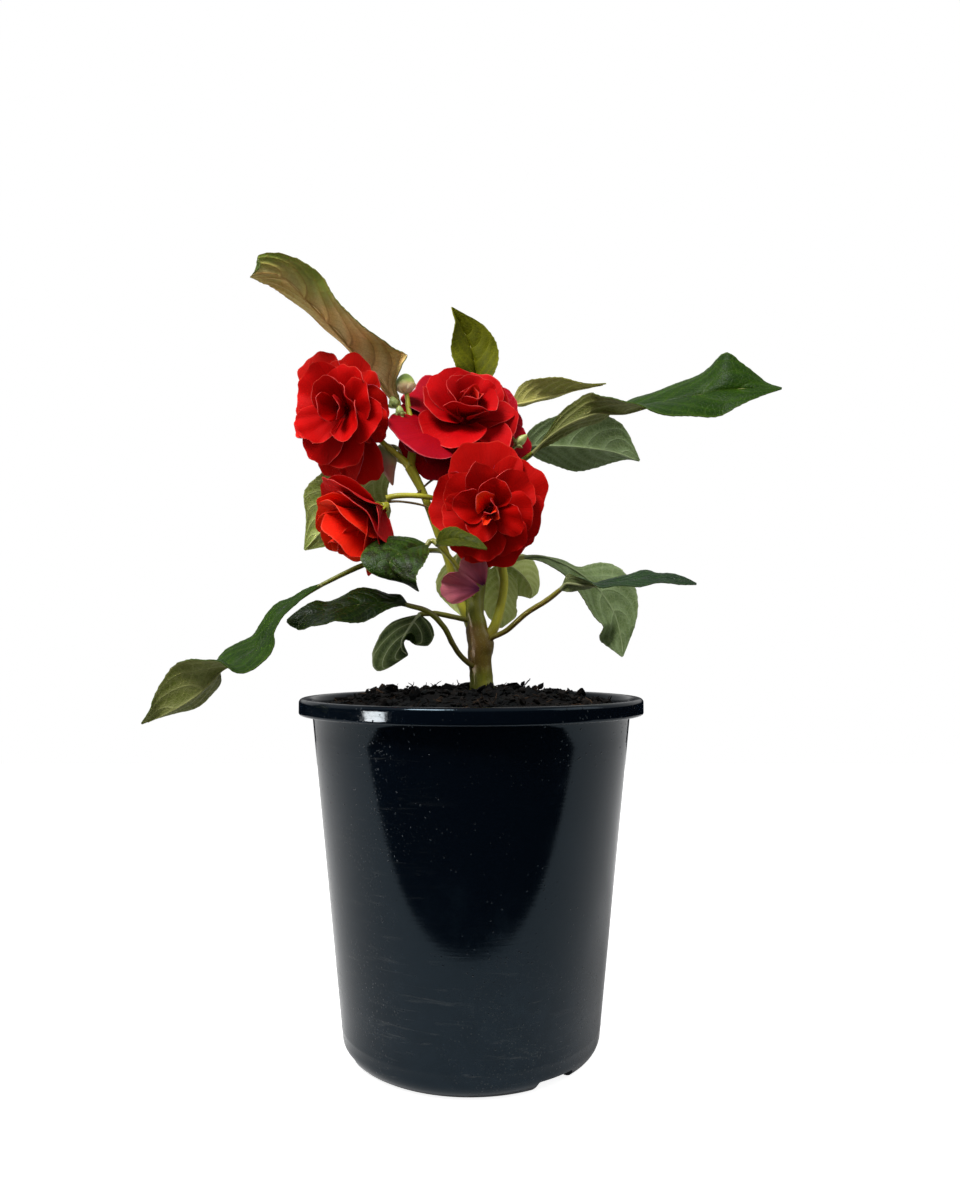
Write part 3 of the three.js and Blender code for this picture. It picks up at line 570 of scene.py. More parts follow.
stemMake = {
    "main_stem": {
        "points": [[6, 0, 118], [5, 0, 141], [4, 0, 154], [3.6, 0, 161], [4, 0, 166], [2.6, 0, 171],
            [2, 0, 175], [1, 0, 180], [2, 2, 190], [5, 5, 203], [7, 6, 216], [9, 6, 230], [11, 6, 241],
            [13, 8, 249]],
        "radii": [5.6, 5.6, 4.9, 5.1, 5.7, 5.0, 4.4, 4.3, 4.0, 3.4, 3.0, 2.8, 2.6, 2.9],
    },
    "right_branch": {
        "points": [[4, 0, 165], [10, -1, 174], [13, -1, 185], [14, -2, 193], [13, -4, 199], [11, -5, 209],
            [9, -8, 219], [8.1, -12, 223.7]],
        "radii": [2.8, 2.2, 1.9, 1.8, 1.9, 1.9, 1.7, 1.6],
    },
    "left_branch": {
        "points": [[0, 0, 174], [-5, -1, 185], [-8, -3, 195], [-11, -5, 205], [-14, -6, 213],
            [-20, -8, 229], [-26, -10, 241]],
        "radii": [2.6, 1.9, 1.7, 1.7, 1.8, 1.7, 2.3],
    },
    "flower_1_pedicel": {
        "points": [[-26, -10, 241], [-30, -10, 245], [-36, -10, 250], [-43, -9, 257], [-47, -7.5, 262.5],
            [-49.8, -7.3, 264.6]],
        "radii": [1.9, 1.4, 1.2, 1.1, 1.1, 1.3],
    },
    "flower_2_pedicel": {
        "points": [[13, 8, 249], [7, 11, 254], [0, 11, 258], [-5.7, 9.5, 259.9]],
        "radii": [1.9, 1.4, 1.3, 1.4],
    },
    "flower_4_pedicel": {
        "points": [[8, 5, 221], [-5, -1, 225.5], [-13, -8, 227.2], [-20, -12.2, 228], [-28, -13, 228.3],
            [-33, -13, 227.8], [-35.6, -13.2, 226.9]],
        "radii": [1.3, 1.1, 1.1, 1.1, 1.15, 1.2, 1.4],
    },
    "bud_shoot": {
        "points": [[-26, -10, 241], [-25, -8, 249], [-25, -6, 258], [-27, -4, 267], [-28, -3, 275]],
        "radii": [2.1, 1.7, 1.4, 1.1, 0.9],
    },
    "front_shoot": {
        "points": [[1, -1, 186], [-1, -5, 191], [-4, -10, 196], [-9, -20, 202], [-13, -27, 206]],
        "radii": [1.4, 1.1, 1.0, 1.0, 1.2],
    },
}
spurMake = {
    "flower_2_spur": [[-5.6, 8.6, 260.3], [-6, 7, 254], [-8, 3, 246], [-12, -2, 240], [-18, -7, 235],
                      [-24, -12, 228]],
    "flower_4_spur": [[-36, -12.8, 225.6], [-30, -12.6, 225.8], [-22, -11.6, 224.8], [-15, -11, 222.5]],
}


def stemSkin(name, colours, nodeLow, nodeHigh, blushShare):
    # the blush is strongest between the two heights, round a swollen joint
    light, dark, blush = paints(colours)
    skin = Recipe(name)
    place = skin.place()
    around, along = skin.label("skin")
    z = skin.split(place)[2]
    fibre = skin.grain(skin.gather(around * 26, along * 0.7), 1.0, 3.0, 0.6)
    patches = skin.grain(place, 85, 3.0, 0.6)
    flecks = 1 - skin.cells(place, 1400).rise(0.12, 0.3)
    stripe = (around * 6.283 * 2 + patches * 3).wave()  # two soft stripes on the way round
    base = skin.blend(stripe.rise(-0.3, 0.9) * 0.55 + fibre.rise(0.45, 0.7) * 0.3, light, dark)
    zone = z.rise(nodeLow - 0.006, nodeLow) * (1 - z.rise(nodeHigh, nodeHigh + 0.006))
    base = skin.blend(zone * blushShare * (0.4 + 0.6 * patches), base, blush)
    base = skin.blend(flecks * 0.18, base, paint(196, 198, 150))
    height = fibre * 0.5 + patches * 0.4 + flecks * 0.2
    return skin.surface(Base_Color=base, Roughness=0.3 + 0.2 * patches, Specular_IOR_Level=0.3,
                        Normal=skin.bump(height, 0.00025, 0.6), Coat_Weight=0.06, Coat_Roughness=0.25,
                        Subsurface_Weight=0.12, Subsurface_Radius=(0.0015, 0.002, 0.0005),
                        Subsurface_Scale=1.0)


oldStem = stemSkin("old green stem", [(112, 112, 22), (52, 62, 10), (92, 48, 24)], 0.158, 0.172, 0.85)
youngStem = stemSkin("young yellow stem", [(172, 168, 46), (118, 122, 34), (118, 82, 40)], 0.160, 0.170, 0.6)
spurSkin = stemSkin("brown spur", [(110, 96, 50), (76, 60, 36), (90, 50, 40)], 0.1, 0.3, 0.4)
for node, make in stemMake.items():
    if node == "main_stem":
        settle([tube(make["points"], make["radii"], 28, 1.0, 0.35)], node, [oldStem])
    else:
        settle([tube(make["points"], make["radii"], 18, 1.0, 0.12)], node, [youngStem])
for node, points in spurMake.items():
    radii = [0.7] + [0.5] * (len(points) - 2) + [0.3]
    settle([tube(points, radii, 10, 0.8)], node, [spurSkin])
print("stage: stems")


# leaves: petiole and spine from base to tip, and where the right and left margins pass each
# inner point of the spine, looking to the tip with the upper side up

leafShapes = {
    "leaf_upper_left": {
        "look": "bronze", "make": {"quilt": 1.0, "veinDepth": 0.7},
        "petiole": [[-25, -7, 256], [-26, -4, 261]],
        "spine": [[-30, -1, 264.2], [-33.4, -2.5, 271.7], [-36.5, -4, 276.5], [-39.1, -5.5, 279.8],
            [-42.3, -6.5, 283.2], [-48.6, -11, 289.3], [-54.8, -15, 295.7], [-60.9, -19, 301.7],
            [-66.4, -23, 306.7], [-71.4, -27, 311.2], [-77.2, -31, 314.9], [-84.2, -35, 314.2],
            [-87.8, -36, 312.3]],
        "right": [[-35.4, -1, 272.1], [-39, -0.3, 277.1], [-42.7, 4.5, 282.6], [-46.3, 8.4, 287.6],
            [-52.3, 3.6, 293.5], [-59.7, -0.4, 299.7], [-66.6, -5.8, 305.3], [-72.8, -12, 308.9],
            [-78, -19.1, 311.6], [-81.7, -26.8, 311.7], [-85.2, -33.6, 311.3]],
        "left": [[-31, -3.5, 271.4], [-32.4, -6.4, 277.8], [-29.2, -10.4, 284.6], [-27.6, -9.4, 289.2],
            [-33.1, -12.4, 291.4], [-43.3, -26, 294.8], [-50.9, -29.5, 301.5], [-56.4, -31.1, 307.9],
            [-61.2, -32, 315.3], [-70.4, -34.4, 320.6], [-84, -36.2, 321.2], [-84.2, -36, 315.6]],
    },
    "leaf_top": {
        "look": "olive",
        "petiole": [[13, 8, 250], [15, 20, 254], [13, 30, 264], [9, 33, 275]],
        "spine": [[4.6, 33, 281.5], [2.2, 34, 290], [1.3, 35, 298], [-0.2, 35, 306.2], [-2.5, 35, 312.5],
            [-5.6, 34, 318], [-8.2, 32, 322.3], [-9.7, 31, 325.4]],
        "right": [[8.8, 27.6, 289], [11.4, 29.2, 296.2], [12.2, 34.6, 306.6], [9.8, 34.8, 312.7],
            [4.6, 33.8, 318.4], [-4.4, 31.8, 323]],
        "left": [[-6.2, 31, 292], [-7.9, 27.8, 296.2], [-9.7, 29.3, 303.4], [-9.4, 28.8, 310.8],
            [-8.1, 28.2, 317.3], [-9.1, 29.2, 322]],
    },
    "leaf_right_small": {
        "look": "olive",
        "petiole": [[13, 8, 249], [18, 15, 253], [18, 23, 260], [15, 26, 270]],
        "spine": [[18.1, 26, 277.7], [24, 24, 278.1], [31.7, 21, 279.4], [39.8, 19, 280.9],
            [47.2, 16, 282.1], [53.7, 13, 282.4], [59.9, 9, 282.3]],
        "right": [[22.5, 21.8, 285.7], [31.2, 14.3, 286.4], [39, 10.5, 285.3], [46.4, 8.7, 283.4],
            [53.1, 8.6, 282]],
        "left": [[23.9, 30.8, 277.9], [32.3, 30.7, 280.4], [41, 28.4, 282.3], [48.5, 23.3, 283.1],
            [54.6, 17.3, 283.2]],
    },
    "leaf_right_long": {
        "look": "green", "petiole": [[12, 7, 246], [20, 6, 246], [24, 5, 248]],
        "spine": [[26.8, 3, 249.7], [32, 1, 254.6], [38.3, -2, 259.3], [45.3, -5, 262.5], [53.5, -8, 265],
            [61.9, -12, 263.8], [68.3, -14, 264.2], [76.5, -17, 266.4], [85.5, -20, 267.4],
            [94.7, -23, 268.7], [102.1, -26, 269.3], [109.6, -28, 269.5], [117.1, -30, 269],
            [124.4, -32, 268.2]],
        "right": [[33.6, -0.2, 259.1], [38.6, -3.9, 266.3], [47.2, -7.8, 271.8], [54.2, -19.3, 268.5],
            [60.4, -26.7, 265], [66.3, -30.4, 262.7], [72.2, -32.8, 258.5], [80.6, -34.3, 256.7],
            [89.9, -33.8, 256.2], [99.1, -33.4, 256.9], [106.3, -33.4, 260.3], [114.3, -33.6, 264.3]],
        "left": [[33.3, 1.4, 252.5], [39.5, 2.1, 256.4], [47.5, 2.9, 260.5], [55.4, 3.6, 263.6],
            [64.1, 2.6, 269], [70.6, 2.4, 273.8], [82.4, -3, 276.1], [93.3, -8.3, 279.4],
            [100.6, -13.6, 282.6], [105.6, -21.5, 286.2], [111.6, -24, 280.6], [119.1, -26, 272.9]],
    },
    "leaf_right_back": {
        "look": "pale", "petiole": [[13, 8, 247], [16, 16, 250], [19, 20, 253]],
        "spine": [[22, 22, 256.6], [28.4, 22, 257.3], [36.8, 23, 257.6], [47.5, 24, 257.4],
            [57.6, 24, 256.3], [65.9, 24, 254.8], [72.2, 23, 252.4], [76.8, 22, 250.2]],
        "right": [[27.4, 20.2, 265], [35.7, 20, 269.6], [48.5, 19.8, 272.8], [59.4, 19.8, 271.4],
            [68.7, 20.6, 266.7], [74.5, 21.7, 256.6]],
        "left": [[29.1, 24.9, 252.4], [36.9, 31.1, 250.4], [47.5, 34.2, 248], [58, 34.7, 249.2],
            [65.8, 32.9, 251.9], [72, 27.9, 252.1]],
    },
    "leaf_left_back": {
        "look": "light", "petiole": [[-25, -9, 240], [-28, 2, 245], [-31, 8, 247]],
        "spine": [[-33.6, 13, 249.2], [-39.7, 16, 244.8], [-47.9, 17, 237.7], [-55.7, 18, 230.6],
            [-63.2, 17, 222.2], [-69.5, 15, 214.7], [-74.9, 14, 208.3]],
        "right": [[-36.8, 23.3, 243], [-39.6, 28.9, 235.2], [-39.2, 21, 221], [-51.7, 19.7, 212.6],
            [-62.8, 18.3, 210.8]],
        "left": [[-45.8, 14.1, 250.3], [-57.6, 17.6, 248.8], [-66.8, 13.5, 243.4], [-74.8, 12.5, 234.6],
            [-74.1, 13, 222.5]],
    },
    "leaf_front_left": {
        "look": "blotched", "petiole": [[-13, -27, 206], [-16, -25, 208]],
        "spine": [[-17.7, -26, 206], [-22.6, -31, 204.6], [-27.2, -37, 202.2], [-30.7, -41, 198.8],
            [-31, -42, 195.3], [-27.9, -42, 191.8], [-24.2, -40, 189.2], [-20.4, -38, 186.6]],
        "right": [[-25.1, -23.9, 209.5], [-33.2, -28.1, 209], [-40.7, -35.2, 203.9], [-42.1, -41.1, 197.7],
            [-36.7, -42.2, 192.4], [-26.9, -35.8, 190.4]],
        "left": [[-16.3, -36.5, 201.2], [-17.8, -43.8, 197], [-19.5, -44.5, 194.3], [-20.6, -45, 191.5],
            [-20.6, -46.6, 189.7], [-20.5, -43.5, 188.2]],
    },
    "leaf_front_right": {
        "look": "soft", "petiole": [[-13, -27, 206], [-13.5, -28.5, 206]],
        "spine": [[-13.9, -30, 205.9], [-10.9, -34, 207], [-6.1, -39, 207.2], [-1.3, -43, 206],
            [2.9, -45, 204.2], [6.3, -46, 202.2]],
        "right": [[-10.7, -38.5, 204.2], [-5.9, -45, 203.7], [-0.9, -47.5, 202.8], [2.9, -47.2, 202.2]],
        "left": [[-11.9, -30.4, 210.9], [-6.6, -34.1, 212.2], [-1.8, -38.8, 209.6], [2.9, -43.2, 206.6]],
    },
    "leaf_far_left": {
        "look": "green",
        "petiole": [[-11, -5, 205], [-15, 4, 207], [-23, 7, 207], [-36, 5, 205], [-50, 1, 199]],
        "spine": [[-63.7, -4, 191.8], [-69.3, -6, 188.4], [-73.8, -8.5, 184.7], [-78.7, -11, 180.4],
            [-83, -14, 174.5], [-85.2, -16.5, 167.8], [-89, -19, 162.9], [-93.7, -21, 159.7],
            [-97.4, -22.5, 157.9], [-99.5, -23.2, 156.6], [-101.7, -24, 154.9], [-106, -25.5, 149.3],
            [-111.8, -27, 144.2], [-118, -28.5, 140.2], [-124, -29.5, 137.3], [-129.8, -30, 134.6]],
        "right": [[-70.4, -4.4, 189.7], [-76.2, -5.6, 186.2], [-82.7, -6.2, 183.1], [-89.4, -6.9, 174],
            [-92.8, -7.4, 169.6], [-97.5, -8.7, 166.5], [-103, -9.9, 163.6], [-106.2, -10.1, 160],
            [-106.2, -9.8, 158.4], [-104.6, -9.6, 149.9], [-108.7, -12.1, 143.9], [-113.8, -15.4, 139.9],
            [-119.8, -19.7, 137.8], [-125, -24.2, 136.7]],
        "left": [[-68.9, -7.9, 187.2], [-72.9, -12.2, 182.7], [-77.8, -17, 177.3], [-79.4, -22.3, 171],
            [-78.6, -26.5, 166.5], [-80.7, -29.8, 160.8], [-86.2, -33.1, 155.3], [-91.2, -36.2, 154.8],
            [-97.5, -37.5, 159.6], [-103.2, -38.5, 160.2], [-110.8, -34.8, 159.7], [-118.9, -29.1, 156.5],
            [-123.6, -30.1, 148.7], [-125.2, -32.8, 141.4]],
    },
    "leaf_left_low": {
        "look": "dark",
        "petiole": [[3, 0, 156], [-1, -5, 158], [-5, -10, 162], [-8, -16, 167], [-11, -21, 173],
            [-17, -26, 179]],
        "spine": [[-25.3, -30, 181.8], [-29, -33, 182.6], [-32.8, -35, 182.7], [-36.8, -37.5, 182.6],
            [-41.6, -39.5, 181.9], [-46.2, -42, 180.8], [-50.2, -44, 179.8], [-54.5, -45.5, 178.6],
            [-58.7, -47, 177.4], [-63.4, -48, 176.2], [-66.7, -48.5, 175.2], [-69, -48.5, 174.7]],
        "right": [[-27.9, -30.3, 185.5], [-32.6, -29, 186.2], [-37.3, -29.7, 187.6], [-43.2, -30.7, 188.1],
            [-47.3, -32.4, 187], [-51.3, -34.1, 184.7], [-56, -36.6, 182.4], [-59.9, -41.1, 182.4],
            [-63.7, -45.1, 180.1], [-66.9, -47.7, 177.3]],
        "left": [[-29.5, -36.5, 180.5], [-32.9, -40.7, 178.8], [-37.1, -44.3, 176.3], [-41.3, -47.2, 174.2],
            [-45.6, -51.1, 173.8], [-50.1, -53.8, 174.5], [-54.1, -54, 173.5], [-59.1, -53.2, 172.6],
            [-64.9, -48.2, 171.4], [-67.6, -48.6, 172.8]],
    },
    "leaf_low_curled": {
        "look": "curled", "make": {"veinPairs": 4},
        "petiole": [[2, 0, 176], [-4, -3, 177], [-14, -6, 179], [-17, -8, 179]],
        "spine": [[-21.6, -9, 178.6], [-23.2, -10, 176.7], [-24.8, -11, 174.5], [-26.3, -12, 172],
            [-27.7, -13, 169.5], [-28.7, -13.5, 166.6], [-28.5, -13, 163.7], [-26.3, -12, 161.6]],
        "right": [[-16.9, -9.6, 174.6], [-15.6, -10.5, 169.1], [-18.4, -11.5, 165.4], [-22.9, -12.6, 166],
            [-25.4, -16.4, 170.9], [-27.9, -15.4, 167]],
        "left": [[-29.8, -10.6, 176.8], [-35.1, -12, 173.7], [-39.1, -13.4, 167.4], [-40.9, -14.7, 160.8],
            [-39.2, -15, 155.1], [-34, -13.7, 156.3]],
    },
    "leaf_right_edge": {
        "look": "deep",
        "petiole": [[5, 0, 166], [9, -3, 169], [15, -6, 172], [23, -12, 179], [31, -17, 184]],
        "spine": [[36.7, -20, 188.4], [39.5, -21.5, 190.9], [43, -23, 190.8], [47.7, -24.5, 190.3],
            [52.3, -26, 190.2], [57.7, -27.5, 190.9], [63.5, -29, 191.4], [68.8, -30.5, 191.9],
            [73.8, -31.5, 192], [78.7, -32.5, 191.7], [83.8, -34.5, 190.8], [88.3, -36, 189.5]],
        "right": [[39.1, -21.7, 194.3], [43, -26.5, 193.1], [47, -30.4, 191.4], [51.3, -33, 188.3],
            [56.5, -35.3, 188.5], [62.9, -37, 188.7], [66.7, -37.4, 188.6], [72.1, -37.7, 189.6],
            [77.7, -37.1, 189.6], [83.2, -36.8, 189.2]],
        "left": [[39.5, -21.3, 187.2], [43.3, -20, 187.9], [48.7, -18.8, 188.7], [52.9, -18.9, 191.8],
            [58.9, -19.7, 193.4], [64.8, -21.1, 194.2], [70.4, -24, 196.1], [75.4, -25.5, 194.8],
            [80, -28.1, 194.2], [84.7, -32.3, 192.3]],
    },
    "leaf_right_hanging": {
        "look": "pale", "petiole": [[4, 5, 200], [8, 10, 202], [15, 11, 203]],
        "spine": [[23.2, 12, 204.5], [31.3, 13, 204.4], [38.5, 14, 202.2], [45.2, 14.5, 198.9],
            [50.6, 15, 195.4], [55.6, 15.5, 191.4], [59.6, 15.5, 186.4], [62.6, 15, 181.5],
            [64.7, 14.5, 176.1], [65.9, 13.5, 171.2], [66.5, 12, 165.9], [66.4, 10, 160.7]],
        "right": [[32, 17, 205.9], [40.1, 21.6, 204.6], [48.2, 24.9, 201.9], [54.1, 25, 202.9],
            [61.4, 20.8, 202.9], [67.8, 13.2, 198.4], [73, 12.6, 190.3], [73.8, 12.6, 183.2],
            [72.8, 12.2, 176], [70.3, 13.4, 168.3]],
        "left": [[30.6, 9.1, 202.7], [37, 6.5, 199.3], [41.2, 4.8, 195.2], [45.4, 3.9, 191.2],
            [48.1, 4.6, 187.1], [50.8, 5.8, 182], [54.3, 6.1, 177.6], [57.8, 6.6, 173.7],
            [57.3, 14.7, 167.6], [60.8, 12.8, 164.8]],
    },
    "leaf_back_right": {
        "look": "lit", "petiole": [[5, 5, 205], [7, 13, 207], [10, 18, 207]],
        "spine": [[13.2, 22, 203.7], [17.8, 24, 202], [22.5, 25, 198.4], [25.7, 25, 194.3],
            [27.5, 25, 190.2], [27, 24, 187.3]],
        "right": [[23.5, 26.9, 207.8], [29.1, 31.3, 204.6], [31.1, 31.4, 197.1], [30.4, 28.3, 190.4]],
        "left": [[12.4, 27.5, 196.3], [15.7, 30.1, 191.4], [18.8, 26.3, 188.9], [22.5, 25.3, 188.3]],
    },
    "leaf_back_middle": {
        "look": "lit", "petiole": [[4, 4, 196], [7, 11, 200], [9, 13, 202]],
        "spine": [[11.3, 16, 201.7], [12.2, 18, 196.5], [12.7, 19, 190.2], [13.1, 18, 183.9],
            [13.3, 17.5, 178.4], [13.1, 17, 173.5]],
        "right": [[19, 17.7, 196.5], [21, 22.4, 189.5], [20, 21.7, 183.6], [19.6, 17.3, 178.4]],
        "left": [[4.1, 18, 196.5], [3.6, 19, 190.2], [4.6, 18, 183.9], [7.7, 17.6, 178]],
    },
    "leaf_back_left": {
        "look": "lit", "petiole": [[3, 4, 198], [1, 9, 202], [-2, 13, 207]],
        "spine": [[-5.8, 15, 207.1], [-7.2, 17, 201.4], [-8.1, 18, 195.6], [-7.6, 18, 189.3],
            [-6, 17, 183.4], [-3.9, 14, 178.3]],
        "right": [[1.4, 17, 201.4], [1.8, 18.1, 194.7], [1.4, 18.1, 187.9], [-0.9, 19.3, 181.7]],
        "left": [[-12.9, 19.9, 201.7], [-16, 22.7, 196], [-15.5, 22.3, 189.8], [-10.8, 20.3, 184]],
    },
}

leafMake = {
    "across": 36, "rowLength": 0.85, "mostRows": 150, "thickness": 0.42, "narrowest": 0.5,
    "veinPairs": 7, "veinLead": 0.34, "veinShift": 0.12, "veinDepth": 0.2, "veinWidth": 0.14,
    "grooveDepth": 0.5, "grooveWidth": 0.8, "quilt": 0.26, "halfBulge": 0.05,
    "toothLength": 3.3, "toothDepth": 0.42, "ripple": 0.35, "rippleLength": 19, "calmEnds": 8, "calmWidth": 9,
    "petioleRadius": 1.15, "midribParts": 16, "midribReach": 0.97,
}


def leafRows(shape, make):
    # stations along the spine, each with the way and the distance to both margins
    spine = [Vector(point) for point in shape["spine"]]
    steps = min(make["mostRows"], round(lengthOf(spine) / make["rowLength"]))
    stations, length = walk(spine, steps)
    edges = {}
    for hand, name in ((1, "right"), (-1, "left")):
        spread = [Vector(edge) - place for edge, place in zip(shape[name], spine[1:])]
        widths = [make["narrowest"]] + [offset.length for offset in spread] + [make["narrowest"]]
        edges[hand] = ([spread[0] * 0.1] + spread + [spread[-1] * 0.1], widths)
    rows = []
    for point, tangent, spot in stations:
        row = {"point": point, "tangent": tangent}
        for hand, (spread, widths) in edges.items():
            row[hand] = (valueAt(spread, spot).normalized(), max(0.25, valueAt(widths, spot)))
        rows.append(row)
    return rows, length


def leafBlade(rows, length, make):
    steps = len(rows) - 1
    phase = sum(rows[0]["point"]) * 0.7
    blade = newGrid(make["across"], steps, 3)
    labels = []
    reliefs = []
    for vertex in blade.data.vertices:
        x, reach = vertex.co.x, (vertex.co.y + 1) / 2
        row = rows[round(reach * steps)]
        hand = 1 if x > 0 else -1
        half = abs(x)
        side, width = row[hand]
        run = reach * length
        body = clamp(min(run, length - run) / make["calmEnds"])
        # the margin's teeth
        tooth = (run / make["toothLength"] + 0.37 * hand + 0.15 * math.sin(run * 0.6)) % 1.0
        reachOut = width * half + make["toothDepth"] * (tooth ** 1.5 - 0.4) * half ** 6 * body
        # bulges between sunken side veins, a sunken midrib and a rippled margin
        veinSpot = make["veinPairs"] * (reach - make["veinLead"] * half ** 1.8)
        veinSpot += make["veinShift"] if hand > 0 else 0
        near = abs((veinSpot % 1.0) - 0.5) * 2
        relief = make["quilt"] * (0.5 + 0.5 * math.cos(math.pi * near)) * (1 - half ** 3)
        relief -= make["veinDepth"] * math.exp(-((1 - near) / make["veinWidth"]) ** 2) * (1 - half ** 2)
        relief -= make["grooveDepth"] * math.exp(-(half * width / make["grooveWidth"]) ** 2)
        relief += make["halfBulge"] * width * math.sin(math.pi * half)
        wave = 2 * math.pi * run / make["rippleLength"] + phase + hand
        relief += make["ripple"] * half ** 2.4 * math.sin(wave)
        reliefs.append(relief * clamp(width / make["calmWidth"]) * body)
        labels.append((x / 2 + 0.5, veinSpot))
        vertex.co = (row["point"] + side * reachOut) * mm
    relabel(blade, "blade", labels)
    blade.data.update()
    normals = [vertex.normal.copy() for vertex in blade.data.vertices]
    for vertex, normal, relief in zip(blade.data.vertices, normals, reliefs):
        vertex.co += normal * relief * mm
    # the underside takes the second finish
    applyModifier(blade, "SOLIDIFY", thickness=make["thickness"] * mm, offset=0.0, material_offset=1,
                  material_offset_rim=0)
    return blade


def leafParts(shape, make):
    make = {**make, **shape.get("make", {})}
    rows, length = leafRows(shape, make)
    steps = len(rows) - 1

    def under(row):
        return (row[1][0] - row[-1][0]).cross(row["tangent"]).normalized()

    # the petiole runs on under the blade as the midrib
    petiole = [Vector(point) for point in shape["petiole"]]
    parts = make["midribParts"]
    rib = [rows[0]["point"] - under(rows[0]) * 0.3]
    for step in range(1, parts + 1):
        row = rows[round(steps * step / parts * make["midribReach"])]
        rib.append(row["point"] - under(row) * (1.0 - 0.54 * step / parts))
    thick = make["petioleRadius"]
    slim = [thick * 0.85]
    ribRadii = [0.62 - 0.42 * step / parts for step in range(1, parts + 1)]
    blade = leafBlade(rows, length, make)
    stalk = tube(petiole + rib[:1], [thick] * len(petiole) + slim, 12, 1.3, 0.1, 3)
    midrib = tube(rib, slim + ribRadii, 10, 1.3, 0.05, 3)
    for run, slot in ((stalk, 2), (midrib, 1)):
        for face in run.data.polygons:
            face.material_index = slot
    return [blade, stalk, midrib]


# top and under each have the two colours that mix and the pale one of veins, net and margin; veins and
# ribs are how strongly the veins are coloured on the top and under it

leafLooks = {
    "bronze": {
        "top": [(46, 66, 12), (74, 88, 20), (120, 122, 62)],
        "under": [(232, 180, 118), (250, 216, 156), (130, 88, 44)], "tint": (104, 122, 40), "gloss": 0.5,
        "shine": 0.14, "veins": 0.5, "ribs": 0.5, "stalk": [(150, 140, 60), (112, 100, 40)],
    },
    "olive": {
        "top": [(62, 64, 0), (80, 82, 0), (118, 118, 10)],
        "under": [(154, 150, 84), (138, 136, 66), (178, 172, 110)], "gloss": 0.55, "shine": 0.07,
        "veins": 0.25, "ribs": 0.25, "stalk": [(136, 134, 34), (96, 88, 26)],
    },
    "green": {
        "top": [(18, 42, 0), (34, 60, 0), (70, 90, 28)],
        "under": [(92, 96, 50), (74, 80, 30), (132, 132, 84)], "gloss": 0.36, "shine": 0.08, "veins": 0.16,
        "ribs": 0.35, "stalk": [(100, 106, 24), (70, 68, 18)],
    },
    "deep": {
        "top": [(12, 32, 14), (28, 50, 24), (66, 84, 52)],
        "under": [(90, 98, 62), (74, 84, 44), (132, 134, 96)], "slot": "green", "gloss": 0.32,
        "shine": 0.14, "veins": 0.16, "ribs": 0.5, "stalk": [(110, 104, 34), (96, 62, 24)],
    },
    "soft": {
        "top": [(38, 46, 0), (60, 66, 2), (96, 98, 36)],
        "under": [(92, 96, 50), (74, 80, 30), (132, 132, 84)], "slot": "green", "gloss": 0.45, "shine": 0.1,
        "veins": 0.2, "ribs": 0.35, "stalk": [(126, 126, 50), (84, 84, 30)],
    },
    "blotched": {
        "top": [(22, 44, 2), (42, 64, 8), (78, 96, 36)],
        "under": [(92, 96, 50), (74, 80, 30), (132, 132, 84)], "blotch": 0.85, "slot": "dark",
        "gloss": 0.34, "shine": 0.12, "veins": 0.14, "ribs": 0.35, "stalk": [(126, 126, 50), (84, 84, 30)],
    },
    "curled": {
        "top": [(6, 22, 0), (26, 46, 0), (62, 76, 24)],
        "under": [(84, 96, 56), (38, 52, 18), (160, 168, 132)], "slot": "dark", "gloss": 0.5, "shine": 0.14,
        "veins": 0.2, "ribs": 0.7, "net": 0.03, "stalk": [(112, 112, 40), (84, 76, 26)],
    },
    "dark": {
        "top": [(2, 14, 0), (16, 32, 0), (52, 64, 20)],
        "under": [(62, 64, 28), (40, 44, 14), (116, 116, 72)], "blotch": 0.4, "gloss": 0.3, "shine": 0.1,
        "veins": 0.14, "ribs": 0.4, "stalk": [(104, 104, 30), (80, 60, 20)],
    },
    "pale": {
        "top": [(34, 54, 8), (56, 74, 20), (110, 120, 66)],
        "under": [(94, 110, 72), (74, 90, 48), (132, 144, 104)], "gloss": 0.5, "shine": 0.2, "veins": 0.5,
        "ribs": 0.22, "stalk": [(150, 152, 76), (112, 112, 46)],
    },
    # painted light: the lit and light looks are paler copies of the pale leaf, standing in for the glow of
    # light shining through these leaves from behind
    "lit": {
        "top": [(70, 90, 20), (96, 112, 36), (140, 150, 86)],
        "under": [(200, 212, 132), (176, 190, 104), (220, 226, 164)], "slot": "pale", "gloss": 0.5,
        "shine": 0.2, "veins": 0.5, "ribs": 0.35, "stalk": [(150, 152, 76), (112, 112, 46)],
    },
    "light": {
        "top": [(60, 80, 16), (84, 100, 30), (130, 140, 76)],
        "under": [(150, 162, 90), (124, 138, 60), (178, 184, 124)], "slot": "pale", "gloss": 0.5,
        "shine": 0.2, "veins": 0.5, "ribs": 0.35, "stalk": [(150, 152, 76), (112, 112, 46)],
    },
}
leafSides = {
    # how much of each thing goes into the colour, how far each stands up, and the extra roughness
    "top": {"between": -0.3, "even": 0.25, "flecks": 0.16, "net": -0.3, "branches": -0.25, "veins": -0.5,
            "dull": 0.0},
    "under": {"between": 0.5, "even": 0.0, "flecks": 0.1, "net": 0.3, "branches": 0.3, "veins": 0.8,
              "dull": 0.12},
}


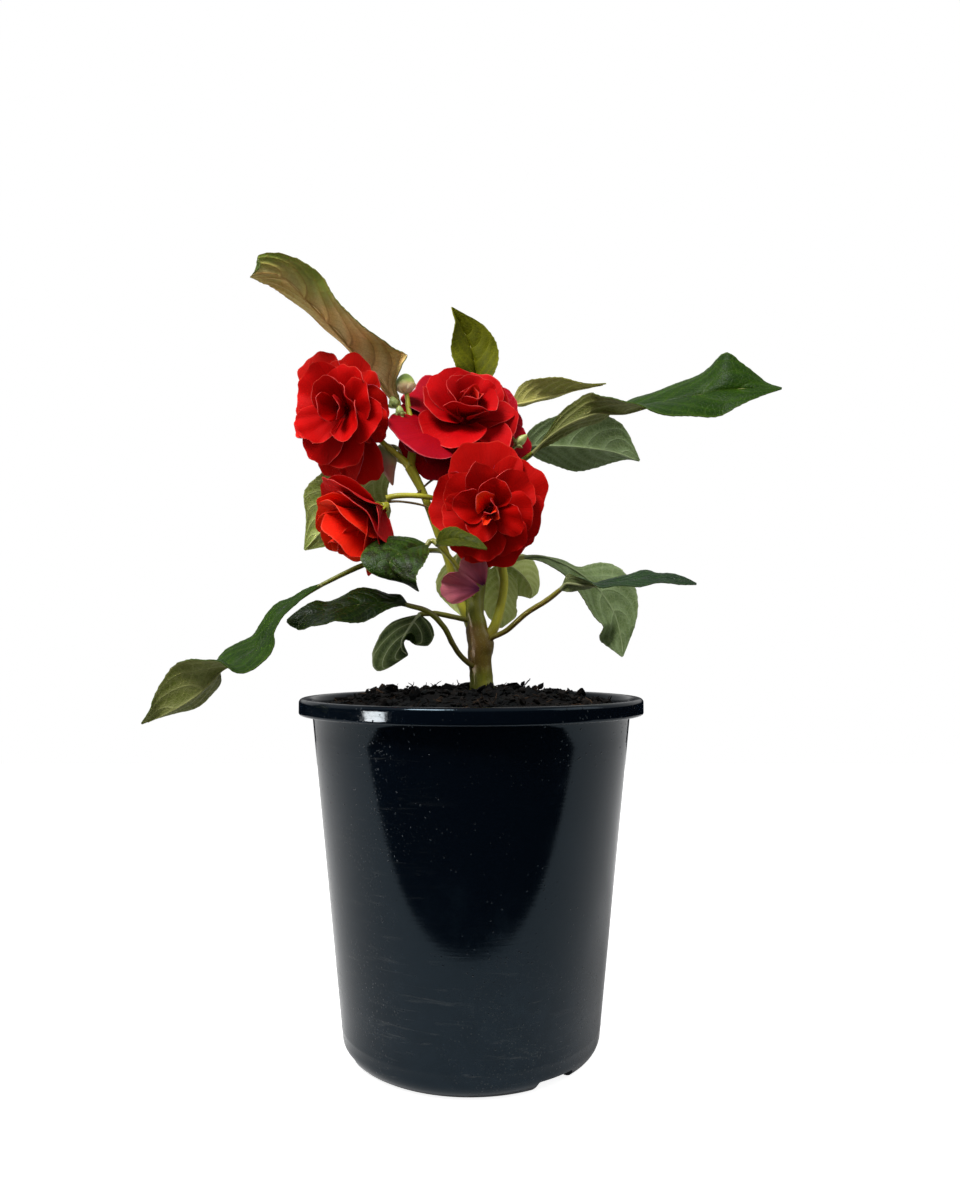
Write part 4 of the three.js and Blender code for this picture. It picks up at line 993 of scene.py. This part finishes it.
def leafSkin(name, colours, look, side, veinShare, netShare, tint=None, blotch=0.0):
    first, second, pale = paints(colours)
    skin = Recipe(name)
    place = skin.place()
    across, veinRun = skin.label("blade")
    half = (across * 2 - 1).size()
    # the label counts side veins, so each lies at a whole number
    near = veinRun.swing()
    vein = 1 - near.rise(0.02, 0.15)
    midrib = 1 - half.rise(0.0, 0.055)
    veins = (vein * (1 - half * 0.55)).most(midrib)
    branch = (half * 9 + veinRun * 2.4).swing()
    branches = (1 - branch.rise(0.03, 0.2)) * (1 - vein)
    net = 1 - skin.cells(place, 620, "DISTANCE_TO_EDGE").rise(0.02, 0.16)
    mottle = skin.grain(place, 70, 4.0, 0.6)
    fine = skin.grain(place, 950, 3.0, 0.6)
    flecks = 1 - skin.cells(place, 1900).rise(0.16, 0.34)
    share = mottle.rise(0.32, 0.72) * 0.6 + near.rise(0.15, 0.9) * side["between"] + side["even"]
    base = skin.blend(share.rise(0.0, 1.0), first, second)
    if tint:
        # greener away from the foot and along one margin
        away = (veinRun / leafMake["veinPairs"] + leafMake["veinLead"] * half * half).rise(0.3, 0.75)
        margin = (1 - across).rise(0.4, 1.0)
        greener = (away * (0.6 + 0.4 * margin)).most(margin * 0.6) * mottle.rise(0.1, 0.5)
        base = skin.blend(greener, base, paint(*tint))
    if blotch:
        spots = skin.grain(place, 300, 4.0, 0.65).rise(0.49, 0.56)
        spots = spots * skin.grain(place, 70, 2.0).rise(0.34, 0.46)
        base = skin.blend(spots * blotch, base, paint(14, 16, 0))
    base = skin.blend(net * netShare + branches * (netShare + 0.03), base, pale)
    base = skin.blend(veins * veinShare, base, pale)
    base = skin.blend(flecks * side["flecks"], base, pale)
    base = skin.blend(half.rise(0.93, 1.0) * 0.45, base, pale)
    height = fine * 0.25 + net * side["net"] + branches * side["branches"] + veins * side["veins"]
    rough = look["gloss"] + 0.14 * mottle + flecks * 0.1 + side["dull"]
    return skin.surface(Base_Color=base, Roughness=rough, Normal=skin.bump(height, 0.00028, 0.75),
                        Subsurface_Weight=0.08, Subsurface_Radius=(0.0012, 0.0016, 0.0004),
                        Subsurface_Scale=1.0, Specular_IOR_Level=look["shine"])


leafFinishes = {}
for name, look in leafLooks.items():
    leafFinishes[name] = [
        leafSkin(name + " leaf top", look["top"], look, leafSides["top"], look["veins"], 0.09,
                 blotch=look.get("blotch", 0.0)),
        leafSkin(name + " leaf underside", look["under"], look, leafSides["under"], look["ribs"],
                 look.get("net", 0.15), tint=look.get("tint")),
        stemSkin(name + " petiole", look["stalk"] + [(96, 60, 44)], 0.150, 0.165, 0.5),
    ]
for node, shape in leafShapes.items():
    look = shape["look"]
    slotName = leafLooks[look].get("slot", look) + "_leaf"
    settle(leafParts(shape, leafMake), node, leafFinishes[look], 55)
print("stage: leaves")


# flowers: each petal is (azimuth, rise from the flower's plane, length, half angle of its fan),
# and some end with how pointed they are. Azimuth 0 is to the right of the flower and 90 is up.

petalMake = {
    "across": 28, "out": 20, "thickness": 0.24, "foot": 1.2, "tilt": 0.1, "lobes": 1.25,
    "notch": 0.06, "notchWidth": 0.16, "waver": 0.018, "scallop": 0.011, "crumple": 0.35, "edgeCurl": 0.8,
}
flowerMake = {
    "flower_1": {
        "base": [-50.5, -11, 264], "facing": [-0.34, -0.92, -0.1], "seed": 3, "size": 1.17, "wild": 1.3,
        "outer_petals": [(98, 10, 23.5, 54), (129, 8, 31.5, 30), (62, 14, 19, 54), (181, 8, 29, 34),
            (224, 8, 22.5, 50), (276, 4, 30, 36), (254, 8, 29, 42), (328, 12, 18, 48), (8, 16, 16.5, 58)],
        "middle_petals": [(184, 20, 24, 46), (136, 28, 24, 52), (78, 36, 19, 50), (22, 42, 17, 58),
            (330, 34, 20, 52), (270, 26, 24, 38), (232, 24, 25, 42)],
        "inner_petals": [(212, 44, 22, 44), (30, 58, 16, 48), (118, 56, 17, 44), (312, 48, 19, 50)],
        "heart_petals": [(176, 66, 15, 48), (350, 74, 12, 44)],
    },
    "flower_2": {
        "base": [-3.5, 6, 262.5], "facing": [0.2, -0.8, 0.56], "seed": 5, "size": 1.28, "wild": 1.3,
        "outer_petals": [(-90, -8, 30, 56), (-132, 4, 35, 54), (-141, 23, 40, 43), (186, 18, 31, 50),
            (138, 20, 30, 60), (96, 30, 26, 58), (46, 20, 28, 60), (2, 4, 28, 54), (-24, 0, 31, 46),
            (-48, -4, 30, 52), (-108, 10, 29, 58), (-154, 18, 33, 54), (-66, 8, 26, 50)],
        "middle_petals": [(-84, 22, 28, 60), (-128, 26, 27, 60), (176, 36, 23, 60), (122, 42, 24, 62),
            (62, 46, 23, 62), (14, 38, 22, 60), (-38, 26, 23, 62)],
        "inner_petals": [(-110, 56, 18, 64), (-30, 58, 17, 62), (48, 60, 18, 62), (140, 60, 18, 62)],
        "heart_petals": [(-70, 76, 12, 62), (30, 82, 11, 56), (120, 76, 13, 60), (200, 84, 10, 50)],
    },
    "flower_3": {
        "base": [8, -16, 221.5], "facing": [-0.04, -0.98, -0.1], "seed": 8, "size": 1.09, "wild": 1.2,
        "outer_petals": [(98, 8, 28.5, 60), (40, 8, 25.5, 54), (-4, 12, 21.5, 56), (-48, 8, 21.5, 54),
            (-84, 8, 23.5, 50), (-128, 10, 23, 52), (172, 10, 25, 56)],
        "middle_petals": [(106, 36, 21, 54, 0.9), (152, 22, 20, 50), (36, 22, 20, 50), (-10, 30, 18, 54),
            (-60, 26, 20, 50), (-108, 26, 21, 54), (190, 30, 20, 52)],
        "inner_petals": [(-32, 40, 18, 44, 0.5), (-118, 46, 16, 44), (172, 44, 17, 50, 0.3),
            (70, 50, 15, 48)],
        "heart_petals": [(130, 60, 12, 46), (-10, 72, 12, 40), (-64, 82, 11, 28), (-104, 60, 12, 18)],
    },
    "flower_4": {
        "base": [-37, -15, 222.5], "facing": [-0.68, -0.4, -0.62], "seed": 13, "size": 1.17, "wild": 1.2,
        "sepalRise": 46,
        "outer_petals": [(18, 55, 28, 58), (74, 46, 28, 58), (136, 42, 27, 58), (196, 44, 25, 56),
            (254, 44, 21, 56), (316, 52, 26, 60)],
        "middle_petals": [(44, 64, 27, 58), (116, 60, 26, 58), (188, 60, 24, 58), (246, 60, 22, 58),
            (300, 63, 27, 58)],
        "inner_petals": [(10, 74, 26, 50), (130, 74, 24, 50), (250, 74, 21, 50)],
        "heart_petals": [(80, 82, 20, 42), (260, 84, 20, 42)],
    },
}
whorlMake = {
    "outer_petals": {"start": 0, "bend": -24, "cup": 0.01, "tilt": 0.08, "ruffle": 1.0},
    "middle_petals": {"start": 2.2, "bend": -24, "cup": 0.025, "tilt": 0.12, "ruffle": 1.0},
    "inner_petals": {"start": 4.4, "bend": -8, "cup": 0.05, "tilt": 0.14, "ruffle": 0.9},
    "heart_petals": {"start": 6.6, "bend": 12, "cup": 0.11, "tilt": 0.2, "ruffle": 0.5},
}


def petalGrid(make, azimuth, lift, length, fan, draw, peak=0.0):
    # every petal has its own lobes, folds and notch
    lobes = make["lobes"] + draw.uniform(-0.3, 0.5)
    shift, other = draw.uniform(0, 6.28), draw.uniform(0, 6.28)
    lift, bend = math.radians(lift), math.radians(make["bend"] + draw.uniform(-5, 5))
    tilt, cup = make["tilt"] * draw.uniform(0.6, 1.4), make["cup"] * draw.uniform(0.8, 1.3)
    turn = Quaternion((0, 0, 1), math.radians(azimuth))
    notch = make["notch"] * draw.uniform(0.3, 1.2)
    piece = newGrid(make["across"], make["out"], 2)
    labels = []
    for vertex in piece.data.vertices:
        share, out = vertex.co.x, max(0.05, (vertex.co.y + 1) / 2)
        # the outline is between a round fan and a pointed one, notched and uneven
        rounded = 0.25 + 0.75 * max(0.0, 1 - share * share) ** 0.42
        pointed = 0.22 + 0.78 * (1 - abs(share)) ** 0.75
        outline = mix(rounded, pointed, peak)
        outline -= notch * math.exp(-(share / make["notchWidth"]) ** 2) * (1 - peak)
        outline += make["waver"] * math.sin(lobes * 5.2 * share + other) * (1 - share * share)
        outline += make["scallop"] * math.sin(lobes * 15 * share + shift) * out ** 4
        angle = math.radians(fan) * share
        distance = length * outline * out
        along, across = distance * math.cos(angle), distance * math.sin(angle)
        # its middle line leans up by lift and bends on its way out
        rise = lift + bend * along / length
        radius = make["foot"] + length * (math.sin(rise) - math.sin(lift)) / bend
        height = make["start"] - length * (math.cos(rise) - math.cos(lift)) / bend
        # cupped, tilted, ruffled, crumpled and curled at the edge
        sag = (1 - math.cos(cup * across)) / cup + tilt * across
        sag += make["ruffle"] * out ** 2.2 * (math.sin(lobes * math.pi * share + shift)
                                              + 0.4 * math.sin(lobes * 2.3 * math.pi * share + other))
        crumple = noise.noise(Vector((along * 0.22, across * 0.22, azimuth * 1.3)))
        sag += make["crumple"] * crumple * out
        sag += make["edgeCurl"] * out ** 6 * math.sin(3.1 * share + shift)
        place = Vector((radius - sag * math.sin(rise), math.sin(cup * across) / cup,
                        height + sag * math.cos(rise)))
        labels.append((share / 2 + 0.5, out))
        vertex.co = turn @ place * mm
    relabel(piece, "blade", labels)
    # the petal's face is the side that looks into the flower
    applyModifier(piece, "SOLIDIFY", thickness=make["thickness"] * mm, offset=0.0, material_offset=1,
                  material_offset_rim=0)
    return piece


def aim(piece, base, facing):
    # from upright at the origin to its place on the plant
    turn = Vector(facing).to_track_quat("Z", "Y")
    for vertex in piece.data.vertices:
        vertex.co = turn @ vertex.co + Vector(base) * mm
    return piece


def petalSkin(name, colours, speckle, veins=0.22):
    deep, middle, bright, rim = paints(colours)
    skin = Recipe(name)
    place = skin.place()
    across, out = skin.label("blade")
    fan = skin.grain(skin.gather(across * 46, out * 1.6), 1.0, 3.0, 0.6)
    broad = skin.grain(place, 95, 3.0, 0.55)
    soft = skin.grain(place, 1300, 2.0, 0.5)
    pits = 1 - skin.cells(place, 1500).rise(0.1, 0.26)
    pitZones = skin.grain(place, 60, 2.0).rise(0.5, 0.62) * out.rise(0.35, 0.9)
    # painted shade and light: each petal darkens to the deep colour at its foot, where it lies in shade
    # inside the flower, and turns to the bright colour on its outer, lit half
    base = skin.blend(out.rise(0.0, 0.55), deep, middle)
    base = skin.blend(out.rise(0.55, 1.0) * (0.3 + 0.7 * broad), base, bright)
    base = skin.blend(fan.rise(0.5, 0.75) * veins, base, deep)
    # painted highlight: a pale line of the rim colour along the petal's edge
    edge = out.rise(0.975, 1.0)
    base = skin.blend(edge * broad.rise(0.35, 0.65) * 0.55, base, rim)
    base = skin.blend(pits * pitZones * speckle, base, rim)
    height = fan * 0.8 + soft * 0.25 + broad * 0.4
    return skin.surface(Base_Color=base, Roughness=0.55 + 0.2 * fan, Specular_IOR_Level=0.04,
                        Normal=skin.bump(height, 0.0003, 0.5), Subsurface_Weight=0.1,
                        Subsurface_Radius=(0.003, 0.0002, 0.0001), Subsurface_Scale=1.0)


petalLooks = {
    # deep (painted shade), middle, bright (painted light) and rim (painted highlight) colours, then how much
    # pale pits show, and fine veins where given
    "red petal face": ([(72, 0, 0), (156, 0, 0), (184, 10, 8), (220, 72, 56)], 0.3),
    # painted shade and light: the deep red and crimson faces are darker copies of the red petal for flowers
    # in shade, and the bright red and orange finishes are lighter copies for flowers in light
    "shaded red petal face": ([(58, 0, 0), (146, 2, 0), (172, 8, 4), (206, 56, 42)], 0.3),
    "lit red petal face": ([(78, 0, 0), (156, 0, 4), (180, 12, 14), (218, 92, 84)], 0.2),
    "red petal back": ([(100, 0, 6), (150, 2, 8), (172, 20, 20), (214, 92, 88)], 0.3),
    "outer petal face": ([(92, 0, 0), (166, 4, 2), (192, 22, 14), (218, 92, 80)], 0.7),
    "outer petal back": ([(90, 2, 22), (126, 4, 28), (140, 28, 54), (196, 112, 124)], 0.5),
    "shaded crimson petal face": ([(84, 0, 2), (136, 0, 10), (148, 10, 28), (204, 100, 108)], 0.5),
    "heart petal face": ([(96, 0, 0), (180, 8, 6), (206, 44, 30), (228, 110, 92)], 0.1),
    "lit orange petal face": ([(120, 0, 0), (214, 24, 4), (234, 64, 24), (232, 96, 74)], 0.2),
    "lit orange petal back": ([(120, 0, 2), (204, 14, 4), (222, 40, 18), (226, 88, 70)], 0.3),
    "faded petal face": ([(60, 18, 56), (164, 82, 98), (188, 108, 114), (176, 112, 118)], 0.25, 0.5),
    "faded petal back": ([(56, 16, 52), (158, 78, 94), (180, 102, 110), (170, 106, 114)], 0.25, 0.5),
}
petalFinishes = {name: petalSkin(name, *look) for name, look in petalLooks.items()}
# the back and face of the outer petals, the back and face of the others, and the face of the heart
petalFaces = {
    "flower_1": ["outer petal back", "outer petal face", "red petal back", "red petal face",
                 "red petal face"],
    "flower_2": ["outer petal back", "shaded crimson petal face", "red petal back", "lit red petal face",
                 "heart petal face"],
    "flower_3": ["outer petal back", "shaded red petal face", "red petal back", "shaded red petal face",
                 "lit orange petal face"],
    "flower_4": ["red petal back", "outer petal face", "lit orange petal back", "lit orange petal face",
                 "lit orange petal face"],
}


def whorl(flower, whorlName, draw):
    # one ring of petals; the innermost stands on a short column
    make = {**petalMake, **whorlMake[whorlName]}
    make["start"] *= flower["size"]
    make["ruffle"] *= flower["wild"]
    petals = []
    for azimuth, lift, length, fan, *peak in flower[whorlName]:
        petals.append(petalGrid(make, azimuth + draw.uniform(-3, 3), lift, length, fan, draw, *peak))
    if whorlName == "heart_petals":
        top = make["start"]
        points = [(0, 0, -0.8), (0, 0, top * 0.5), (0, 0, top + 1.2)]
        petals.append(tube(points, [1.9, 1.6, 0.7], 16, 0.8, 0.2, 2))
    return aim(joinAll("whorl", petals), flower["base"], flower["facing"])


def calyxPiece(flower, draw):
    # a small cup behind the petals, with three sepals
    cup = tube([(0, 0, -3.4), (0, 0, -2.2), (0, 0, -1.2), (0, 0, -0.4)], [1.2, 1.7, 2.3, 2.0], 20, 0.5)
    make = {**petalMake, "start": -1.3, "bend": 16, "cup": 0.14, "ruffle": 0.25, "notch": 0.0, "scallop": 0.0}
    rise = flower.get("sepalRise", -16)
    sepals = [petalGrid(make, azimuth, rise, 6.5, 34, draw) for azimuth in (30, 150, 270)]
    return aim(joinAll("calyx", [cup] + sepals), flower["base"], flower["facing"])


for node, flower in flowerMake.items():
    draw = random.Random(flower["seed"])
    outerBack, outerFace, back, face, heartFace = [petalFinishes[name] for name in petalFaces[node]]
    for whorlName in whorlMake:
        outer = whorlName == "outer_petals"
        petalFace = heartFace if whorlName == "heart_petals" else face
        finishes = [outerBack, outerFace] if outer else [back, petalFace]
        slotName = "outer_petal" if outer else "inner_petal"
        settle([whorl(flower, whorlName, draw)], node + "_" + whorlName, finishes)
    settle([calyxPiece(flower, draw)], node + "_calyx", [youngStem])
print("stage: flowers")


# buds, seed pod and faded petals

budMake = {
    "bud_round": {
        "look": "round bud", "centre": [-28.6, -3, 278.6], "radius": 4.3, "stretch": 0.95, "point": 0.05,
        "stalk": [[-27, -4, 268], [-28, -3, 272], [-28.4, -3, 275.2]], "lean": [0.05, 0, 1],
    },
    "bud_small_left": {
        "look": "small bud", "centre": [-33.5, -5, 270], "radius": 2.1, "stretch": 1.1, "point": 0.1,
        "stalk": [[-26, -5, 262], [-30, -5, 266], [-32.8, -5, 268.4]], "lean": [-0.3, 0, 1],
    },
    "bud_small_low": {
        "look": "small bud", "centre": [-30.5, -9, 265], "radius": 1.8, "stretch": 1.15, "point": 0.1,
        "stalk": [[-25.5, -7, 256], [-28, -9, 260], [-30, -9, 263.4]], "lean": [-0.1, -0.2, 1],
    },
    "bud_curled": {
        "look": "small bud", "centre": [21.5, 2, 255], "radius": 2.1, "stretch": 1.4, "point": 0.15,
        "stalk": [[14.5, 7, 249.5], [19, 5, 253], [20.8, 2.6, 254]], "lean": [0.7, -0.3, 0.6],
    },
    "seed_pod": {
        "look": "seed pod", "centre": [-36.5, -4, 245], "radius": 4.7, "stretch": 1.5, "point": 0.3,
        "stalk": [[-29, -9.5, 244], [-31, -7, 249], [-33.5, -5, 251], [-35.5, -4.4, 250.4]],
        "lean": [0.25, 0, -1],
    },
}
budLooks = {
    # green, cream and blush colours, and the heights between which cream turns green
    # painted light: the round bud's cream is paler than the bud itself, to lift its lower half out of shade
    "round bud": ([(166, 192, 92), (250, 232, 180), (240, 170, 132)], 0.2765, 0.2795),
    "small bud": ([(152, 168, 92), (176, 182, 116), (190, 150, 110)], 0.240, 0.262),
    "seed pod": ([(150, 160, 110), (180, 128, 112), (176, 96, 92)], 0.240, 0.249),
}


def budParts(make):
    deselectAll()
    bpy.ops.mesh.primitive_uv_sphere_add(segments=30, ring_count=20, radius=1)
    ball = bpy.context.object
    ball.data.uv_layers[0].name = "skin"
    turn = Vector((0, 0, 1)).rotation_difference(Vector(make["lean"]).normalized())
    centre = Vector(make["centre"])
    for vertex in ball.data.vertices:
        around = math.atan2(vertex.co.y, vertex.co.x)
        height = vertex.co.z
        # five shallow furrows and a drawn-out tip
        furrow = 1 - 0.06 * (0.5 + 0.5 * math.cos(5 * around + height)) ** 4 * (1 - height * height)
        tip = 1 + make["point"] * max(0.0, height) ** 5 * 2
        slim = 1 - make["point"] * max(0.0, height) * 1.3
        place = Vector((vertex.co.x * furrow * slim, vertex.co.y * furrow * slim,
                        height * make["stretch"] * tip))
        vertex.co = (turn @ (place * make["radius"]) + centre) * mm
    stalk = tube(make["stalk"] + [make["centre"]], [0.75] * len(make["stalk"]) + [0.6], 12, 0.8)
    sepalMake = {**petalMake, "start": -make["stretch"] * make["radius"] - 0.3, "foot": 0.5, "bend": 75,
                 "cup": 0.8 / make["radius"], "ruffle": 0.1, "notch": 0.0, "tilt": 0.0, "scallop": 0.0}
    draw = random.Random(2)  # the same for each bud, so that their sepals are alike
    sepals = [petalGrid(sepalMake, azimuth, 8, make["radius"] * 1.5, 32, draw) for azimuth in (200, 320, 80)]
    sepals = joinAll("sepals", sepals)
    for vertex in sepals.data.vertices:
        vertex.co = turn @ vertex.co + centre * mm
    return [ball, stalk, sepals]


def budSkin(name, colours, creamLow, creamHigh):
    green, cream, blush = paints(colours)
    skin = Recipe(name)
    place = skin.place()
    z = skin.split(place)[2]
    cloud = skin.grain(place, 260, 3.0, 0.6)
    lines = skin.grain(skin.stretch(place, (900, 900, 120)), 1.0, 3.0, 0.6)
    height = z + (cloud - 0.5) * 0.0018
    base = skin.blend(height.rise(creamLow, creamHigh), cream, green)
    band = height.rise(creamLow - 0.003, creamLow) * (1 - height.rise(creamLow, creamHigh + 0.001))
    base = skin.blend(band * 0.6 * cloud.rise(0.35, 0.65), base, blush)
    base = skin.blend(lines.rise(0.5, 0.8) * 0.3, base, green)
    return skin.surface(Base_Color=base, Roughness=0.42 + 0.15 * cloud, Coat_Weight=0.1,
                        Normal=skin.bump(lines * 0.6 + cloud * 0.4, 0.0002, 0.6),
                        Subsurface_Weight=0.2, Subsurface_Radius=(0.002, 0.002, 0.001), Subsurface_Scale=1.0)


budFinishes = {name: budSkin(name, *look) for name, look in budLooks.items()}
for node, make in budMake.items():
    settle(budParts(make), node, [budFinishes[make["look"]]])

fadedMake = {
    "faded_petal_upper": {
        "base": [6, -8.5, 189.5], "facing": [-0.2, -0.95, -0.2], "azimuth": 114, "length": 15.5, "fan": 42,
    },
    "faded_petal_lower": {
        "base": [5.2, -8.7, 189], "facing": [-0.1, -0.96, -0.2], "azimuth": 172, "length": 17.5, "fan": 42,
    },
    "faded_petal_small": {
        "base": [12.3, -6.4, 203.5], "facing": [0.1, -0.9, -0.4], "azimuth": 170, "length": 10, "fan": 56,
    },
}
fadedFinishes = [petalFinishes["faded petal back"], petalFinishes["faded petal face"]]
for node, make in fadedMake.items():
    draw = random.Random(len(node))
    shape = {**petalMake, "start": 0.0, "bend": 20, "cup": 0.06, "ruffle": 1.0, "tilt": 0.02, "lobes": 1.8}
    petal = petalGrid(shape, make["azimuth"], 8, make["length"], make["fan"], draw)
    settle([aim(petal, make["base"], make["facing"])], node, fadedFinishes)
print("stage: buds and faded petals")


# studio

studioMake = {
    "floorFront": -150, "floorSide": 1000, "floorBack": 900, "floorDrop": 0.1,
    "keySize": 420, "keyPlace": (-420, -560, 1100), "keyPower": 21.0,
    "fillSize": 700, "fillPlace": (900, -250, 700), "fillPower": 2.5, "aim": (0, 0, 200),
}
worldMake = {
    "mirrorBright": (1.0, 1.0, 1.0, 1), "mirrorDark": (0.006, 0.010, 0.018, 1),
    "window": (130.0, 106.0, 94.0, 1), "domeLow": (0.5, 0.5, 0.5, 1), "domeHigh": (1.0, 1.0, 1.0, 1),
    "domePower": 0.5,
}
cameraMake = {"place": (3.65, -389, 164.5), "tilt": 93.04, "lens": 27.15, "sensor": 36}


def floorSkin():
    skin = Recipe("pale floor")
    place = skin.place()
    cloud = skin.grain(place, 9, 3.0)
    base = skin.blend(cloud, paint(214, 214, 214), paint(222, 222, 222))
    # seen straight on it stays as pale as the surroundings
    seen = skin.node("ShaderNodeLightPath", output="Is Camera Ray")
    glow = skin.blend(seen, (0.06, 0.06, 0.06, 1), (0.88, 0.88, 0.88, 1))
    return skin.surface(Base_Color=base, Roughness=0.6 + 0.1 * cloud, Emission_Color=glow,
                        Emission_Strength=1.0)


def buildStudio(make):
    deselectAll()
    bpy.ops.mesh.primitive_plane_add(size=1)
    floor = takeNew("studioFloor")
    front, back = make["floorFront"], make["floorBack"]
    for vertex in floor.data.vertices:
        depth = front if vertex.co.y < 0 else back
        vertex.co = Vector((vertex.co.x * 2 * make["floorSide"], depth, -make["floorDrop"])) * mm
    floor.data.materials.append(floorSkin())
    for name in ("key", "fill"):
        bpy.ops.object.light_add(type="AREA", location=Vector(make[name + "Place"]) * mm)
        lamp = bpy.context.object
        lamp.name = name + "Light"
        lamp.data.size = make[name + "Size"] * mm
        lamp.data.energy = make[name + "Power"]
        view = Vector(make["aim"]) * mm - lamp.location
        lamp.rotation_euler = view.to_track_quat("-Z", "Y").to_euler()


def buildWorld(make):
    # glossy surfaces mirror a bright sky over a dark front and horizon, and a small window low on the
    # left; all others are lit by a soft dome, and the camera sees plain white
    skin = Recipe("soft studio", bpy.data.worlds)
    bpy.context.scene.world = skin.owner
    direction = skin.node("ShaderNodeTexCoord", output="Generated")
    x, y, z = skin.split(direction)
    front = (0 - y).rise(0.05, 0.45) * (1 - z.rise(0.25, 0.6))
    horizon = 1 - z.rise(0.02, 0.2)
    mirrored = skin.blend(front.most(horizon), make["mirrorBright"], make["mirrorDark"])
    window = (x * -0.89 - y * 0.456).rise(0.985, 0.992) * z.rise(-0.22, -0.17) * (1 - z.rise(-0.07, -0.03))
    mirrored = skin.blend(window, mirrored, make["window"])
    dome = skin.blend(z.rise(-0.5, 0.6), make["domeLow"], make["domeHigh"])
    glossy = skin.node("ShaderNodeLightPath", output="Is Glossy Ray")
    glow = skin.blend(glossy, dome, mirrored)
    seen = skin.node("ShaderNodeLightPath", output="Is Camera Ray")
    soft = skin.node("ShaderNodeBackground", values={"Color": glow, "Strength": make["domePower"]})
    plain = skin.node("ShaderNodeBackground", values={"Color": (1, 1, 1, 1), "Strength": 1.0})
    both = skin.node("ShaderNodeMixShader", values={0: seen, 1: soft, 2: plain})
    skin.node("ShaderNodeOutputWorld", values={0: both})


def buildCamera(make):
    tilt = math.radians(make["tilt"])
    bpy.ops.object.camera_add(location=Vector(make["place"]) * mm, rotation=(tilt, 0, 0))
    camera = bpy.context.object
    camera.name = "frontCamera"
    camera.data.sensor_fit = "VERTICAL"
    camera.data.sensor_height = make["sensor"]
    camera.data.lens = make["lens"]
    camera.data.clip_start = 0.01
    bpy.context.scene.camera = camera


buildStudio(studioMake)
buildWorld(worldMake)
buildCamera(cameraMake)
bpy.context.scene.view_settings.view_transform = "Standard"
bpy.context.scene.view_settings.look = "None"
print("stage: studio")
